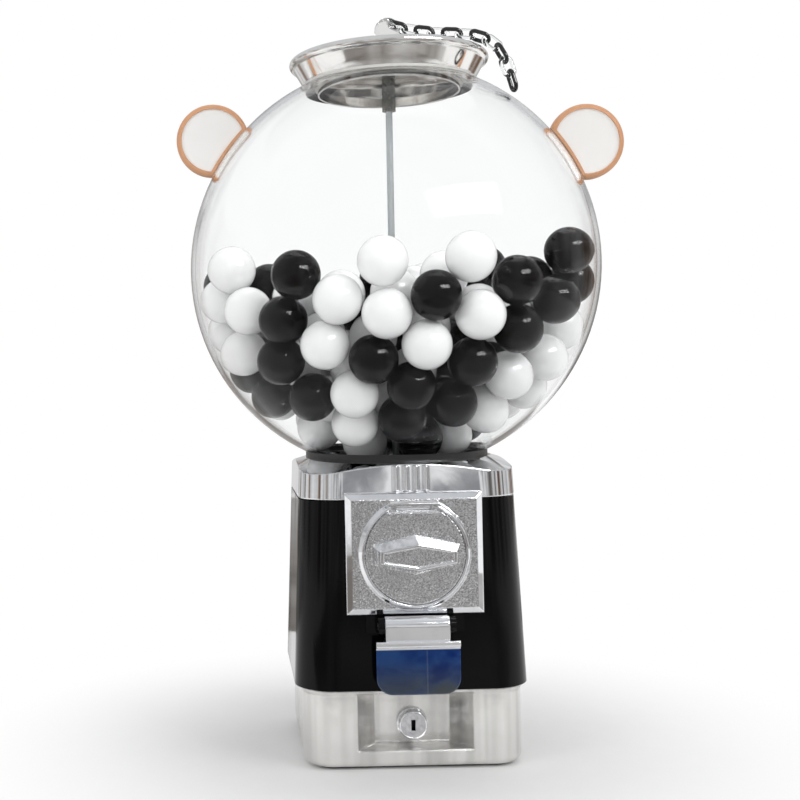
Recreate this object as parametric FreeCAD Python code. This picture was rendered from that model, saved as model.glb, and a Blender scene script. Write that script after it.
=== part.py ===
import FreeCAD, Part
import math
import os
import random

from FreeCAD import Vector

# Counter-top gumball machine, in millimetres. +Z is up, the front faces -Y,
# and the origin is on the ground under the globe's axis.

# Clearances
RUNNING_FIT = 0.05
LOOSE_GAP = 0.4
SLIDE_GAP = 0.5
SOLID_OVERLAP = 1.0
FLAT_EDGE = 0.001

# Foot pad and base housing
PAD_THICKNESS = 2.0
PAD_INSET = 11.0
BASE_HEIGHT = 66.0
BASE_HALF = 91.5
BASE_CORNER = 24.0
BASE_WALL = 4.0
BASE_BOTTOM = 4.0
BASE_FOOT_ROUND = 8.0
BEAD_HEIGHT = 4.0
BEAD_OUT = 1.2
NICHE_WIDTH_FRONT = 100.0
NICHE_WIDTH_BACK = 63.0
NICHE_DEPTH = 24.0
NICHE_SILL = 15.0

# Lock in the niche
LOCK_HEIGHT = 33.5
LOCK_FLANGE_RADIUS = 13.2
LOCK_FLANGE_THICKNESS = 3.0
LOCK_NOSE_RADIUS = 12.0
LOCK_NOSE_LENGTH = 9.5
LOCK_NOSE_ROUND = 1.2
LOCK_BARREL_RADIUS = 9.0
LOCK_BARREL_LENGTH = 18.0
PLUG_HEAD_RADIUS = 10.2
PLUG_HEAD_LENGTH = 6.0
PLUG_RADIUS = 6.0
PLUG_TAIL_RADIUS = 4.0
KEYHOLE_WIDTH = 3.6
KEYHOLE_HEIGHT = 9.0
CAM_LENGTH = 26.0
CAM_WIDTH = 12.0
CAM_THICKNESS = 3.0
LOCK_NUT_RADIUS = 14.0
LOCK_NUT_HEIGHT = 6.0
STRIKE_THICKNESS = 3.0
STRIKE_DEPTH = 15.0
STRIKE_FOOT = 19.0

# Body shell
BODY_HEIGHT = 156.0
BODY_OVERHANG = 6.5
BODY_HALF_TOP = 91.5
BODY_CORNER = 36.0
BODY_WALL = 3.5
BODY_FLOOR_THICKNESS = 3.0
FLOOR_LIP_DEPTH = 4.0
FLOOR_LIP_WIDTH = 3.0
COIN_HOLE_X = 60.0
COIN_HOLE_MARGIN = 9.5
COIN_HOLE_LENGTH = 26.0
COIN_HOLE_DEPTH = 14.0
POST_RADIUS = 7.0
POST_HEIGHT = 34.0
POST_INSET = 25.5
POST_WEB = 6.0
LUG_LENGTH = 14.0
LUG_WIDTH = 34.0
LUG_HEIGHT = 8.0

# Screws
SCREW_RADIUS = 2.0
SCREW_HEAD_RADIUS = 3.6
SCREW_HEAD_HEIGHT = 2.5
SCREW_BITE = 8.0

# Collar
COLLAR_HEIGHT = 29.5
COLLAR_STEP = 0.1
COLLAR_DRAFT = 1.4
COLLAR_CORNER = 34.0
COLLAR_WALL = 4.0
COLLAR_CONE_DEG = 17.0
COLLAR_FLANGE_RISE = 19.0
SEAT_RADIUS = 83.0
RIB_COUNT = 4
RIB_PITCH = 8.3
RIB_RADIUS = 3.2
RIB_OUT = 1.8
RIB_MARGIN = 1.5

# Globe and gaskets
GLOBE_RADIUS = 180.0
GLOBE_WALL = 4.0
GLOBE_MOUTH_RADIUS = 71.0
GLOBE_NECK_RADIUS = 66.0
GLOBE_GASKET_THICKNESS = 5.0
LID_GASKET_THICKNESS = 2.2

# Lid, knob and rod
LID_RIM_RADIUS = 88.0
LID_RIM_RISE = 18.0
LID_BEAD_RADIUS = 4.0
LID_DOME_RISE = 5.0
LID_SHEET = 1.6
LID_SEAT_RADIUS = 76.0
LID_SKIRT_RADIUS = 63.5
LID_SKIRT_DEPTH = 8.0
HUB_RADIUS = 11.5
HUB_HEIGHT = 11.0
SLEEVE_RADIUS = 6.0
SLEEVE_LENGTH = 39.0
ROD_RADIUS = 3.0
ROD_TOP_GAP = 13.0
STUD_RADIUS = 2.5
STUD_BITE = 12.0
KNOB_RADIUS = 11.5
KNOB_HEIGHT = 31.0
KNOB_FOOT_RADIUS = 8.5
KNOB_FOOT_HEIGHT = 5.0

# Chain of oval links
LINK_LENGTH = 20.6
LINK_WIDTH = 13.0
LINK_WIRE = 3.5
LINK_PLAY = 0.6
LINK_HOLE_GAP = 0.6
LINK_TWIST_DEG = 40
CHAIN_TURN_DEG = -30.0

# Ears
EAR_RADIUS = 32.5
EAR_RIM_WIDTH = 4.5
EAR_THICKNESS = 13.0
EAR_ROUND = 4.0
EAR_FACE_THICKNESS = 5.0
EAR_FACE_INSET = 1.5
EAR_DISH_DEPTH = 2.0
EAR_BAND = 2.5
EAR_REACH = 18.0
LEFT_EAR_TURN_DEG = -92.9
LEFT_EAR_RISE_DEG = 37.0
RIGHT_EAR_TURN_DEG = 78.1
RIGHT_EAR_RISE_DEG = 31.6
EAR_PAD_THICKNESS = 1.5

# Dispensing wheel and hopper
POCKET_RADIUS = 22.0
POCKET_WEB = 3.0
POCKET_TO_PEGS = 3.7
WHEEL_TO_WALL = 8.5
WHEEL_HEIGHT = 28.0
WHEEL_LIFT = 1.0
BUSH_RADIUS = 8.0
PEG_COUNT = 48
PEG_INSET = 4.5
PEG_RADIUS = 1.3
PEG_LENGTH = 9.5
HOPPER_FLOOR_THICKNESS = 4.0
HOPPER_FLOOR_DROP = 24.0
DROP_HOLE_RADIUS = 23.0
BRIDGE_THICKNESS = 6.0
BRIDGE_FRONT = 28.0
BRIDGE_BACK = 20.0
BOSS_HEIGHT = 6.0
BOSS_HALF = 40.0
FLOOR_TO_PEGS = 1.5
ROD_NUT_RADIUS = 6.0
ROD_NUT_HEIGHT = 5.0
WASHER_RADIUS = 9.0
WASHER_THICKNESS = 1.5
GUARD_THICKNESS = 2.0
GUARD_HALF = 24.0
GUARD_FRONT = 18.0
GUARD_TO_WALL = 5.0

# Coin mechanism
PLATE_WIDTH = 112.0
PLATE_HEIGHT = 99.0
PLATE_STANDOFF = 14.0
PLATE_BEVEL = 5.0
PLATE_BEVEL_DEPTH = 2.9
PLATE_SKIN = 6.0
WINDOW_HALF_WIDTH = 44.0
WINDOW_HALF_HEIGHT = 38.0
POCKET_MARGIN = 3.0
PLATE_SCREW_X = 50.0
PLATE_SCREW_Z = 34.0
RING_RADIUS = 47.0
RING_WIDTH = 5.4
RING_OUT = 3.0
RING_CREST = 1.6
RING_GAP_HALF = 19.5
LEDGE_HEIGHT = 2.6
COIN_SLOT_LENGTH = 28.0
COIN_SLOT_HEIGHT = 3.0
COIN_SLOT_RISE = 1.5
DIAL_RADIUS = 40.5
DIAL_THICKNESS = 4.0
DIAL_FLAT = 34.0
GRIP_LENGTH = 61.0
GRIP_HEIGHT = 21.0
GRIP_END_HEIGHT = 9.4
GRIP_OUT = 18.5
GRIP_ROOT_GROWTH = 5.5
GRIP_PANEL_RIM = 2.6
GRIP_PANEL_DEPTH = 1.2
SHAFT_RADIUS = 5.0
SHAFT_SOCKET = 2.0
SHAFT_BUSH_RADIUS = 8.0
SHAFT_BOSS_RADIUS = 11.0
CARRIER_RADIUS = 31.0
CARRIER_THICKNESS = 5.0
CARRIER_GAP = 2.0
COIN_RADIUS = 12.2
COIN_SEAT_DROP = 6.1
BACK_PLATE_HALF_WIDTH = 38.0
BACK_PLATE_HALF_HEIGHT = 32.0
BACK_PLATE_THICKNESS = 1.6
BACK_PLATE_GAP = 1.15
SPACER_X = 33.0
SPACER_Z = 26.0
SPACER_RADIUS = 4.0
SPACER_SCREW_BITE = 3.0
GEAR_TEETH = 8
GEAR_TIP = 3.0
GEAR_ROOT = 3.5
GEAR_TOOTH_WIDTH = 2.4
GEAR_THICKNESS = 5.0
GEAR_MESH_RISE = 2.375
SHAFT_NUT_RADIUS = 7.5
SHAFT_NUT_HEIGHT = 4.0
SHAFT_END = 1.0
GUIDE_SHEET = 1.5
GUIDE_LEFT = -28.0
GUIDE_RIGHT = 34.0
GUIDE_FALL = 19.0
GUIDE_DROP = 3.0
GUIDE_TAB = 12.0

# Chute and its door
CHUTE_WIDTH = 46.0
CHUTE_SHEET = 2.0
CHUTE_BACK_GAP = 3.0
CHUTE_BACK_HEIGHT = 130.0
CHUTE_TO_DOOR = 8.0
CHUTE_LIP_HEIGHT = 76.0
CHUTE_WALL_HEIGHT = 38.0
CHUTE_TOP_GAP = 2.0
CHUTE_HOLE_HEIGHT = 45.0
CHUTE_HOLE_GAP = 1.0
HINGE_TO_PLATE = 0.875
HINGE_STANDOFF = 11.0
BARREL_RADIUS = 8.0
BARREL_LENGTH = 52.0
PIN_RADIUS = 3.0
BRACKET_THICKNESS = 5.0
BRACKET_RADIUS = 7.0
BRACKET_FOOT_WIDTH = 9.0
BRACKET_FOOT_THICKNESS = 2.5
FLAP_WIDTH = 68.0
FLAP_BOTTOM = 68.5
FLAP_TOP_DROP = 11.0
FLAP_SHEET = 2.4
FLAP_CORNER = 13.0
FLAP_LIP_HEIGHT = 5.5
FLAP_LIP_OUT = 2.0
FLAP_LIP_ROUND = 1.8

# Balls
BALL_RADIUS = 20.0
BALL_GAP = 0.5
FILL_RISE = 14.0
COLUMN_TRIES = 140
SPREAD_ROUNDS = 400
SPREAD_EASE = 0.004
BALL_SEED = 5

# Balls against the glass: degrees round from the front (right is positive), degrees above the globe's middle
WHITE_FRONT_BALLS = (
    (-68, -2), (-10, -3), (13, -4), (-78, -9), (-23, -13), (-60, -14), (-9, -16), (20, -18),
    (-91, -20), (76, -21), (-30, -26), (-78, -28), (3, -27), (68, -32), (42, -39), (76, -42), (-24, -44),
    (45, -52), (-32, -59), (71, -72), (-87, -64),
)
BLACK_FRONT_BALLS = (
    (64, 2), (-36, -6), (75, -7), (32, -8), (5, -12), (53, -13), (-44, -18), (36, -22),
    (-14, -31), (-51, -31), (21, -33), (-91, -35), (-1, -42), (-80, -44), (-46, -45), (20, -49), (-3, -54),
)

# Chain: where its first link begins, out from the knob's axis and above the globe's top, and each link's fall
CHAIN_START = (4.0, 53.8)
LINK_FALLS_DEG = (21, 18, 14, 12, 10, 12, 23, 43, 61, 72, 74)

# Heights and planes that follow from the sizes above
BASE_TOP = PAD_THICKNESS + BASE_HEIGHT
BODY_HALF_BOTTOM = BASE_HALF + BODY_OVERHANG
BODY_HALF_WIDEST = max(BODY_HALF_BOTTOM, BODY_HALF_TOP)
POST_OFFSET = BODY_HALF_TOP - POST_INSET
COLLAR_HALF_BOTTOM = BODY_HALF_TOP - COLLAR_STEP
COLLAR_HALF_TOP = COLLAR_HALF_BOTTOM - COLLAR_DRAFT
WHEEL_RADIUS = BODY_HALF_TOP - BODY_WALL - WHEEL_TO_WALL
PEG_CIRCLE = WHEEL_RADIUS - PEG_INSET
POCKET_CIRCLE = PEG_CIRCLE - PEG_RADIUS - POCKET_TO_PEGS - POCKET_RADIUS
POCKET_COUNT = int(math.pi / math.asin((POCKET_RADIUS + POCKET_WEB / 2) / POCKET_CIRCLE))
GEAR_PITCH_RADIUS = PEG_CIRCLE * GEAR_TEETH / PEG_COUNT
CHUTE_BACK = POCKET_CIRCLE + DROP_HOLE_RADIUS + CHUTE_BACK_GAP
BODY_TOP = BASE_TOP + BODY_HEIGHT
FLOOR_TOP = BASE_TOP + BODY_FLOOR_THICKNESS
COLLAR_CONE = math.tan(math.radians(COLLAR_CONE_DEG))
COLLAR_EDGE = BODY_TOP + COLLAR_HEIGHT
SEAT_TOP = COLLAR_EDGE + (COLLAR_HALF_TOP - SEAT_RADIUS) * COLLAR_CONE
FLANGE_BOTTOM = BODY_TOP + COLLAR_FLANGE_RISE
GLOBE_BOTTOM = SEAT_TOP + GLOBE_GASKET_THICKNESS
GLOBE_INNER = GLOBE_RADIUS - GLOBE_WALL
GLOBE_MIDDLE = GLOBE_BOTTOM + math.sqrt(GLOBE_INNER ** 2 - GLOBE_MOUTH_RADIUS ** 2)
GLOBE_TOP = GLOBE_MIDDLE + math.sqrt(GLOBE_INNER ** 2 - GLOBE_NECK_RADIUS ** 2)
LID_SEAT = GLOBE_TOP + LOOSE_GAP + LID_GASKET_THICKNESS
LID_RIM = LID_SEAT + LID_RIM_RISE
LID_DOME_EDGE_RADIUS = LID_RIM_RADIUS - LID_BEAD_RADIUS
LID_DOME_EDGE = LID_RIM + LID_BEAD_RADIUS
LID_TOP = LID_DOME_EDGE + LID_DOME_RISE
LID_DOME_RADIUS = (LID_DOME_EDGE_RADIUS ** 2 + LID_DOME_RISE ** 2) / (2 * LID_DOME_RISE)
HUB_TOP = LID_TOP - LID_DOME_RADIUS + math.sqrt((LID_DOME_RADIUS - LID_SHEET) ** 2 - HUB_RADIUS ** 2)
HUB_BOTTOM = HUB_TOP - HUB_HEIGHT
SLEEVE_BOTTOM = HUB_BOTTOM - SLEEVE_LENGTH
ROD_TOP = HUB_BOTTOM - ROD_TOP_GAP
KNOB_BOTTOM = LID_TOP + LOOSE_GAP
KNOB_TOP = KNOB_BOTTOM + KNOB_HEIGHT
HOPPER_TOP = BODY_TOP - HOPPER_FLOOR_DROP
HOPPER_BOTTOM = HOPPER_TOP - HOPPER_FLOOR_THICKNESS
BRIDGE_TOP = HOPPER_BOTTOM - BOSS_HEIGHT
BRIDGE_BOTTOM = BRIDGE_TOP - BRIDGE_THICKNESS
WHEEL_BOTTOM = HOPPER_TOP + WHEEL_LIFT
WHEEL_TOP = WHEEL_BOTTOM + WHEEL_HEIGHT
PEG_BOTTOM = WHEEL_BOTTOM - PEG_LENGTH
SHAFT_Z = PEG_BOTTOM + GEAR_MESH_RISE - GEAR_PITCH_RADIUS
NICHE_FLOOR = PAD_THICKNESS + NICHE_SILL
NICHE_TOP = BASE_TOP - BEAD_HEIGHT
NICHE_BACK = -BASE_HALF + NICHE_DEPTH
LOCK_WALL_INNER = NICHE_BACK + BASE_WALL
LOCK_FRONT = NICHE_BACK - LOCK_NOSE_LENGTH
CASE_BACK = NICHE_BACK + LOCK_BARREL_LENGTH
CAM_BACK = CASE_BACK + LOOSE_GAP + CAM_THICKNESS
PLATE_FRONT = BODY_HALF_TOP + PLATE_STANDOFF
PLATE_INNER = -PLATE_FRONT + PLATE_SKIN
DIAL_BACK = -PLATE_FRONT - LOOSE_GAP
DIAL_FACE = DIAL_BACK - DIAL_THICKNESS
GRIP_FACE = DIAL_FACE - GRIP_OUT
GEAR_FRONT = -PEG_CIRCLE - GEAR_THICKNESS / 2
GEAR_BACK = GEAR_FRONT + GEAR_THICKNESS
BACK_PLATE_BACK = -WHEEL_RADIUS - BACK_PLATE_GAP
BACK_PLATE_FRONT = BACK_PLATE_BACK - BACK_PLATE_THICKNESS
CARRIER_BACK = BACK_PLATE_FRONT - CARRIER_GAP
CARRIER_FRONT = CARRIER_BACK - CARRIER_THICKNESS
SHAFT_BACK = GEAR_BACK + SHAFT_NUT_HEIGHT + SHAFT_END
HINGE_Z = SHAFT_Z - PLATE_HEIGHT / 2 - HINGE_TO_PLATE - BARREL_RADIUS
FLAP_TOP = HINGE_Z - FLAP_TOP_DROP
HINGE_SHARE = (HINGE_Z - BASE_TOP) / BODY_HEIGHT
HINGE_WALL = BODY_HALF_BOTTOM + (BODY_HALF_TOP - BODY_HALF_BOTTOM) * HINGE_SHARE
HINGE_Y = -HINGE_WALL - HINGE_STANDOFF
FLAP_FRONT = HINGE_Y - BARREL_RADIUS
CHUTE_LIP = -FLAP_FRONT - FLAP_SHEET - CHUTE_TO_DOOR
GLOBE_CENTRE = Vector(0, 0, GLOBE_MIDDLE)
UP = Vector(0, 0, 1)
BACKWARD = Vector(0, 1, 0)
RIGHT = Vector(1, 0, 0)


def save(name, shape):
    """Writes one node's shape."""
    shape.exportStep(f"parts/{name}.step")


def block(x0, x1, y0, y1, z0, z1):
    """A box between two corners."""
    return Part.makeBox(x1 - x0, y1 - y0, z1 - z0, Vector(x0, y0, z0))


def upright(radius, z0, z1, x=0.0, y=0.0):
    """A cylinder along Z."""
    return Part.makeCylinder(radius, z1 - z0, Vector(x, y, z0), UP)


def level(radius, y0, y1, x=0.0, z=0.0):
    """A cylinder along Y."""
    return Part.makeCylinder(radius, y1 - y0, Vector(x, y0, z), BACKWARD)


def fused(shapes):
    """One solid from several that meet."""
    first, *rest = shapes
    return first.fuse(rest).removeSplitter()


def prism(points, direction):
    """A flat outline pushed along a direction."""
    corners = [Vector(*point) for point in points]
    return Part.Face(Part.makePolygon(corners + corners[:1])).extrude(direction)


def hexagon(radius, start, direction, height):
    """A six-sided nut blank, radius measured to its corners."""
    across = direction.cross(RIGHT)
    turns = [math.radians(60 * step) for step in range(6)]
    corners = [start + RIGHT * (radius * math.cos(t)) + across * (radius * math.sin(t)) for t in turns]
    return Part.Face(Part.makePolygon(corners + corners[:1])).extrude(direction * height)


def rounded_square(half, corner, z):
    """A square outline with round corners, at height z."""
    flat = half - corner
    edges = []
    for quarter in range(4):
        turn = FreeCAD.Rotation(UP, 90 * quarter)
        arc = corner * math.sqrt(0.5)
        places = [(half, -flat), (half, flat), (flat + arc, flat + arc), (flat, half)]
        a, b, c, d = [turn.multVec(Vector(x, y, z)) for x, y in places]
        edges += [Part.makeLine(a, b), Part.Arc(b, c, d).toShape()]
    return Part.Wire(edges)


def tapered(half_low, half_high, corner, z0, z1):
    """A solid between two rounded squares."""
    outlines = [rounded_square(half_low, corner, z0), rounded_square(half_high, corner, z1)]
    return Part.makeLoft(outlines, True, True)


def turned(edges, centre=None, axis=UP):
    """A closed profile turned right round an axis."""
    return Part.Face(Part.Wire(edges)).revolve(centre or Vector(), axis, 360)


def lathe(points):
    """A straight-sided profile of (radius, height) points turned round Z."""
    corners = [Vector(r, 0, z) for r, z in points]
    return turned(Part.makePolygon(corners + corners[:1]).Edges)


def screw(head, direction, length):
    """A round-headed screw: the underside of its head is at the given place."""
    shank = Part.makeCylinder(SCREW_RADIUS, length, head, direction)
    top = head - direction * SCREW_HEAD_HEIGHT
    cap = Part.makeCylinder(SCREW_HEAD_RADIUS, SCREW_HEAD_HEIGHT, top, direction)
    return fused([shank, cap])


def body_half(z):
    """Half the body's width at a height."""
    share = (z - BASE_TOP) / BODY_HEIGHT
    return BODY_HALF_BOTTOM + (BODY_HALF_TOP - BODY_HALF_BOTTOM) * share


def body_block(inset, z0, z1):
    """The body's tapered form, drawn in by an inset, between two heights."""
    return tapered(body_half(z0) - inset, body_half(z1) - inset, BODY_CORNER - inset, z0, z1)


def corners_of(x, y):
    """The four places at plus and minus x and y."""
    return [(sx * x, sy * y) for sx in (-1, 1) for sy in (-1, 1)]


def on_globe(turn_deg, rise_deg, reach):
    """A place by degrees round from the front, degrees above the globe's middle and distance from it."""
    turn, rise = math.radians(turn_deg), math.radians(rise_deg)
    flat = reach * math.cos(rise)
    return [flat * math.sin(turn), -flat * math.cos(turn), GLOBE_MIDDLE + reach * math.sin(rise)]


def chute_floor(y):
    """Height of the chute's running surface at a depth."""
    slope = (CHUTE_BACK_HEIGHT - CHUTE_LIP_HEIGHT) / (CHUTE_BACK + CHUTE_LIP)
    return CHUTE_LIP_HEIGHT + (y + CHUTE_LIP) * slope


# Base housing with its niche, and the pad under it
def niche_form(grow):
    """The niche's hollow, grown by a wall."""
    front, back = NICHE_WIDTH_FRONT / 2 + grow, NICHE_WIDTH_BACK / 2 + grow
    front_y, back_y = -BASE_HALF - BEAD_OUT - SOLID_OVERLAP, NICHE_BACK + grow
    z0, z1 = NICHE_FLOOR - grow, NICHE_TOP + grow
    outline = [(-front, front_y, z0), (front, front_y, z0), (back, back_y, z0), (-back, back_y, z0)]
    return prism(outline, UP * (z1 - z0))


def make_base():
    bottom, inner_half = PAD_THICKNESS, BASE_HALF - BASE_WALL
    inner_corner = BASE_CORNER - BASE_WALL
    outside = tapered(BASE_HALF, BASE_HALF, BASE_CORNER, bottom, BASE_TOP)
    foot_edges = [edge for edge in outside.Edges if edge.BoundBox.ZMax < bottom + FLAT_EDGE]
    outside = outside.makeFillet(BASE_FOOT_ROUND, foot_edges)
    bead_low, bead_high = BASE_TOP - BEAD_HEIGHT, BASE_TOP
    bead_half, bead_corner = BASE_HALF + BEAD_OUT, BASE_CORNER + BEAD_OUT
    bead = tapered(bead_half, bead_half, bead_corner, bead_low, bead_high)
    rims = [edge for edge in bead.Edges if edge.BoundBox.ZLength < FLAT_EDGE]
    bead = bead.makeFillet(BEAD_OUT, rims)
    cavity_low = bottom + BASE_BOTTOM
    cavity = tapered(inner_half, inner_half, inner_corner, cavity_low, BASE_TOP + SOLID_OVERLAP)
    housing = outside.fuse(bead).cut(niche_form(0.0)).cut(cavity.cut(niche_form(BASE_WALL)))
    lock_hole = level(LOCK_BARREL_RADIUS + RUNNING_FIT, NICHE_BACK - SOLID_OVERLAP,
                      LOCK_WALL_INNER + SOLID_OVERLAP, 0, LOCK_HEIGHT)
    save("base_housing", housing.cut(lock_hole).removeSplitter())
    pad_half, pad_corner = BASE_HALF - PAD_INSET, BASE_CORNER - PAD_INSET
    save("foot_pad", tapered(pad_half, pad_half, pad_corner, 0.0, PAD_THICKNESS))


# Cam lock: case and nut stay in the niche wall, the plug turns the cam over the strike
def make_lock():
    z = LOCK_HEIGHT
    flange = level(LOCK_FLANGE_RADIUS, NICHE_BACK - LOCK_FLANGE_THICKNESS, NICHE_BACK, 0, z)
    nose = level(LOCK_NOSE_RADIUS, LOCK_FRONT, NICHE_BACK, 0, z)
    nose_edges = [edge for edge in nose.Edges if edge.BoundBox.YMax < LOCK_FRONT + FLAT_EDGE]
    nose = nose.makeFillet(LOCK_NOSE_ROUND, nose_edges)
    barrel = level(LOCK_BARREL_RADIUS, NICHE_BACK, CASE_BACK, 0, z)
    head_back = LOCK_FRONT + PLUG_HEAD_LENGTH
    head_room = level(PLUG_HEAD_RADIUS + RUNNING_FIT, LOCK_FRONT - SOLID_OVERLAP, head_back, 0, z)
    plug_room = level(PLUG_RADIUS + RUNNING_FIT, LOCK_FRONT, CASE_BACK + SOLID_OVERLAP, 0, z)
    save("lock_case", fused([flange, nose, barrel]).cut(head_room).cut(plug_room))
    nut = hexagon(LOCK_NUT_RADIUS, Vector(0, LOCK_WALL_INNER, z), BACKWARD, LOCK_NUT_HEIGHT)
    thread = level(LOCK_BARREL_RADIUS, LOCK_WALL_INNER, LOCK_WALL_INNER + LOCK_NUT_HEIGHT, 0, z)
    save("lock_nut", nut.cut(thread))
    head = level(PLUG_HEAD_RADIUS, LOCK_FRONT, head_back - LOOSE_GAP, 0, z)
    stem = level(PLUG_RADIUS, LOCK_FRONT, CASE_BACK + LOOSE_GAP, 0, z)
    tail = level(PLUG_TAIL_RADIUS, CASE_BACK, CAM_BACK, 0, z)
    keyhole = block(-KEYHOLE_WIDTH / 2, KEYHOLE_WIDTH / 2, LOCK_FRONT, head_back,
                    z - KEYHOLE_HEIGHT / 2, z + KEYHOLE_HEIGHT / 2)
    screw_hole = level(SCREW_RADIUS, CAM_BACK - SCREW_BITE, CAM_BACK, 0, z)
    save("lock_plug", fused([head, stem, tail]).cut(keyhole).cut(screw_hole))
    cam_front = CAM_BACK - CAM_THICKNESS
    half = CAM_WIDTH / 2
    arm = block(0, CAM_LENGTH, cam_front, CAM_BACK, z - half, z + half)
    cam = fused([arm, level(half, cam_front, CAM_BACK, 0, z)])
    save("lock_cam", cam.cut(level(PLUG_TAIL_RADIUS, cam_front, CAM_BACK, 0, z)))
    save("lock_cam_screw", screw(Vector(0, CAM_BACK, z), -BACKWARD, SCREW_BITE))
    foot_top = z - half - LOOSE_GAP
    foot_bottom = foot_top - STRIKE_THICKNESS
    leg_inner = math.hypot(CAM_LENGTH, half) + SLIDE_GAP
    leg_outer = leg_inner + STRIKE_THICKNESS
    middle = CAM_BACK - CAM_THICKNESS / 2
    y0, y1 = middle - STRIKE_DEPTH / 2, middle + STRIKE_DEPTH / 2
    leg = block(leg_inner, leg_outer, y0, y1, foot_bottom, BASE_TOP)
    foot = block(leg_outer - STRIKE_FOOT, leg_outer, y0, y1, foot_bottom, foot_top)
    flange = block(leg_inner, leg_outer + STRIKE_FOOT, y0, y1, BASE_TOP - STRIKE_THICKNESS, BASE_TOP)
    save("lock_strike", fused([leg, foot, flange]))


# Body shell, its floor and the screws that hold the collar
def make_body():
    shell = body_block(0.0, BASE_TOP, BODY_TOP)
    outer = shell.copy()
    shell = shell.cut(body_block(BODY_WALL, BASE_TOP - SOLID_OVERLAP, BODY_TOP + SOLID_OVERLAP))
    post_low = BODY_TOP - POST_HEIGHT
    additions = []
    for x, y in corners_of(POST_OFFSET, POST_OFFSET):
        turn = math.degrees(math.atan2(y, x))
        web = block(0, BODY_CORNER, -POST_WEB / 2, POST_WEB / 2, post_low, BODY_TOP)
        web.Placement = FreeCAD.Placement(Vector(x, y, 0), FreeCAD.Rotation(UP, turn))
        additions.append(fused([upright(POST_RADIUS, post_low, BODY_TOP, x, y), web]).common(outer))
    lug_low = BRIDGE_BOTTOM - LUG_HEIGHT
    wall_inner = body_half(lug_low) - BODY_WALL
    for x0, x1 in ((-BODY_HALF_WIDEST, LUG_LENGTH - wall_inner), (wall_inner - LUG_LENGTH, BODY_HALF_WIDEST)):
        additions.append(block(x0, x1, -LUG_WIDTH / 2, LUG_WIDTH / 2, lug_low, BRIDGE_BOTTOM).common(outer))
    shell = fused([shell, *additions])
    window = block(-WINDOW_HALF_WIDTH, WINDOW_HALF_WIDTH, -BODY_HALF_WIDEST - SOLID_OVERLAP, -WHEEL_RADIUS,
                   SHAFT_Z - WINDOW_HALF_HEIGHT, SHAFT_Z + WINDOW_HALF_HEIGHT)
    hole_half = CHUTE_WIDTH / 2 + CHUTE_SHEET + CHUTE_HOLE_GAP
    hole_low = chute_floor(-BODY_HALF_BOTTOM) - CHUTE_SHEET - CHUTE_HOLE_GAP
    chute_hole = block(-hole_half, hole_half, -BODY_HALF_WIDEST - SOLID_OVERLAP, -WHEEL_RADIUS,
                       hole_low, hole_low + CHUTE_HOLE_HEIGHT)
    shell = shell.cut(window).cut(chute_hole)
    for x, y in corners_of(POST_OFFSET, POST_OFFSET):
        shell = shell.cut(upright(SCREW_RADIUS + RUNNING_FIT, post_low, BODY_TOP, x, y))
    for x, z in corners_of(PLATE_SCREW_X, PLATE_SCREW_Z):
        hole = level(SCREW_RADIUS + RUNNING_FIT, -PLATE_FRONT, -WHEEL_RADIUS, x, SHAFT_Z + z)
        shell = shell.cut(hole)
    for x in (-1, 1):
        bolt_x = x * (wall_inner - LUG_LENGTH / 2)
        shell = shell.cut(upright(SCREW_RADIUS + RUNNING_FIT, lug_low, BRIDGE_BOTTOM, bolt_x))
    save("body_shell", shell)
    bite = POST_HEIGHT + SCREW_BITE
    places = [Vector(x, y, post_low) for x, y in corners_of(POST_OFFSET, POST_OFFSET)]
    save("collar_screws", Part.makeCompound([screw(place, UP, bite) for place in places]))
    bite = LUG_HEIGHT + BRIDGE_THICKNESS
    places = [Vector(x * (wall_inner - LUG_LENGTH / 2), 0, lug_low) for x in (-1, 1)]
    save("bridge_screws", Part.makeCompound([screw(place, UP, bite) for place in places]))
    sheet = body_block(BODY_WALL + LOOSE_GAP, BASE_TOP, FLOOR_TOP)
    lip_half = BASE_HALF - BASE_WALL - SLIDE_GAP
    lip_corner = BASE_CORNER - BASE_WALL - SLIDE_GAP
    lip_low = BASE_TOP - FLOOR_LIP_DEPTH
    hollow_half, hollow_corner = lip_half - FLOOR_LIP_WIDTH, lip_corner - FLOOR_LIP_WIDTH
    lip = tapered(lip_half, lip_half, lip_corner, lip_low, BASE_TOP)
    lip = lip.cut(tapered(hollow_half, hollow_half, hollow_corner, lip_low, BASE_TOP))
    niche_room = niche_form(BASE_WALL + SLIDE_GAP)
    coin_y = BODY_WALL + COIN_HOLE_MARGIN - BODY_HALF_BOTTOM
    coin_hole = block(COIN_HOLE_X - COIN_HOLE_LENGTH / 2, COIN_HOLE_X + COIN_HOLE_LENGTH / 2,
                      coin_y, coin_y + COIN_HOLE_DEPTH, lip_low, FLOOR_TOP)
    save("body_floor", fused([sheet, lip.cut(niche_room)]).cut(coin_hole))


# Collar: round-cornered ring under a shallow cone, ribs on its front
def collar_block(top):
    """The collar's outer form up to a height."""
    growth = (COLLAR_HALF_BOTTOM - COLLAR_HALF_TOP) / COLLAR_HEIGHT
    half_high = COLLAR_HALF_BOTTOM - growth * (top - BODY_TOP)
    return tapered(COLLAR_HALF_BOTTOM, half_high, COLLAR_CORNER, BODY_TOP, top)


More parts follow.
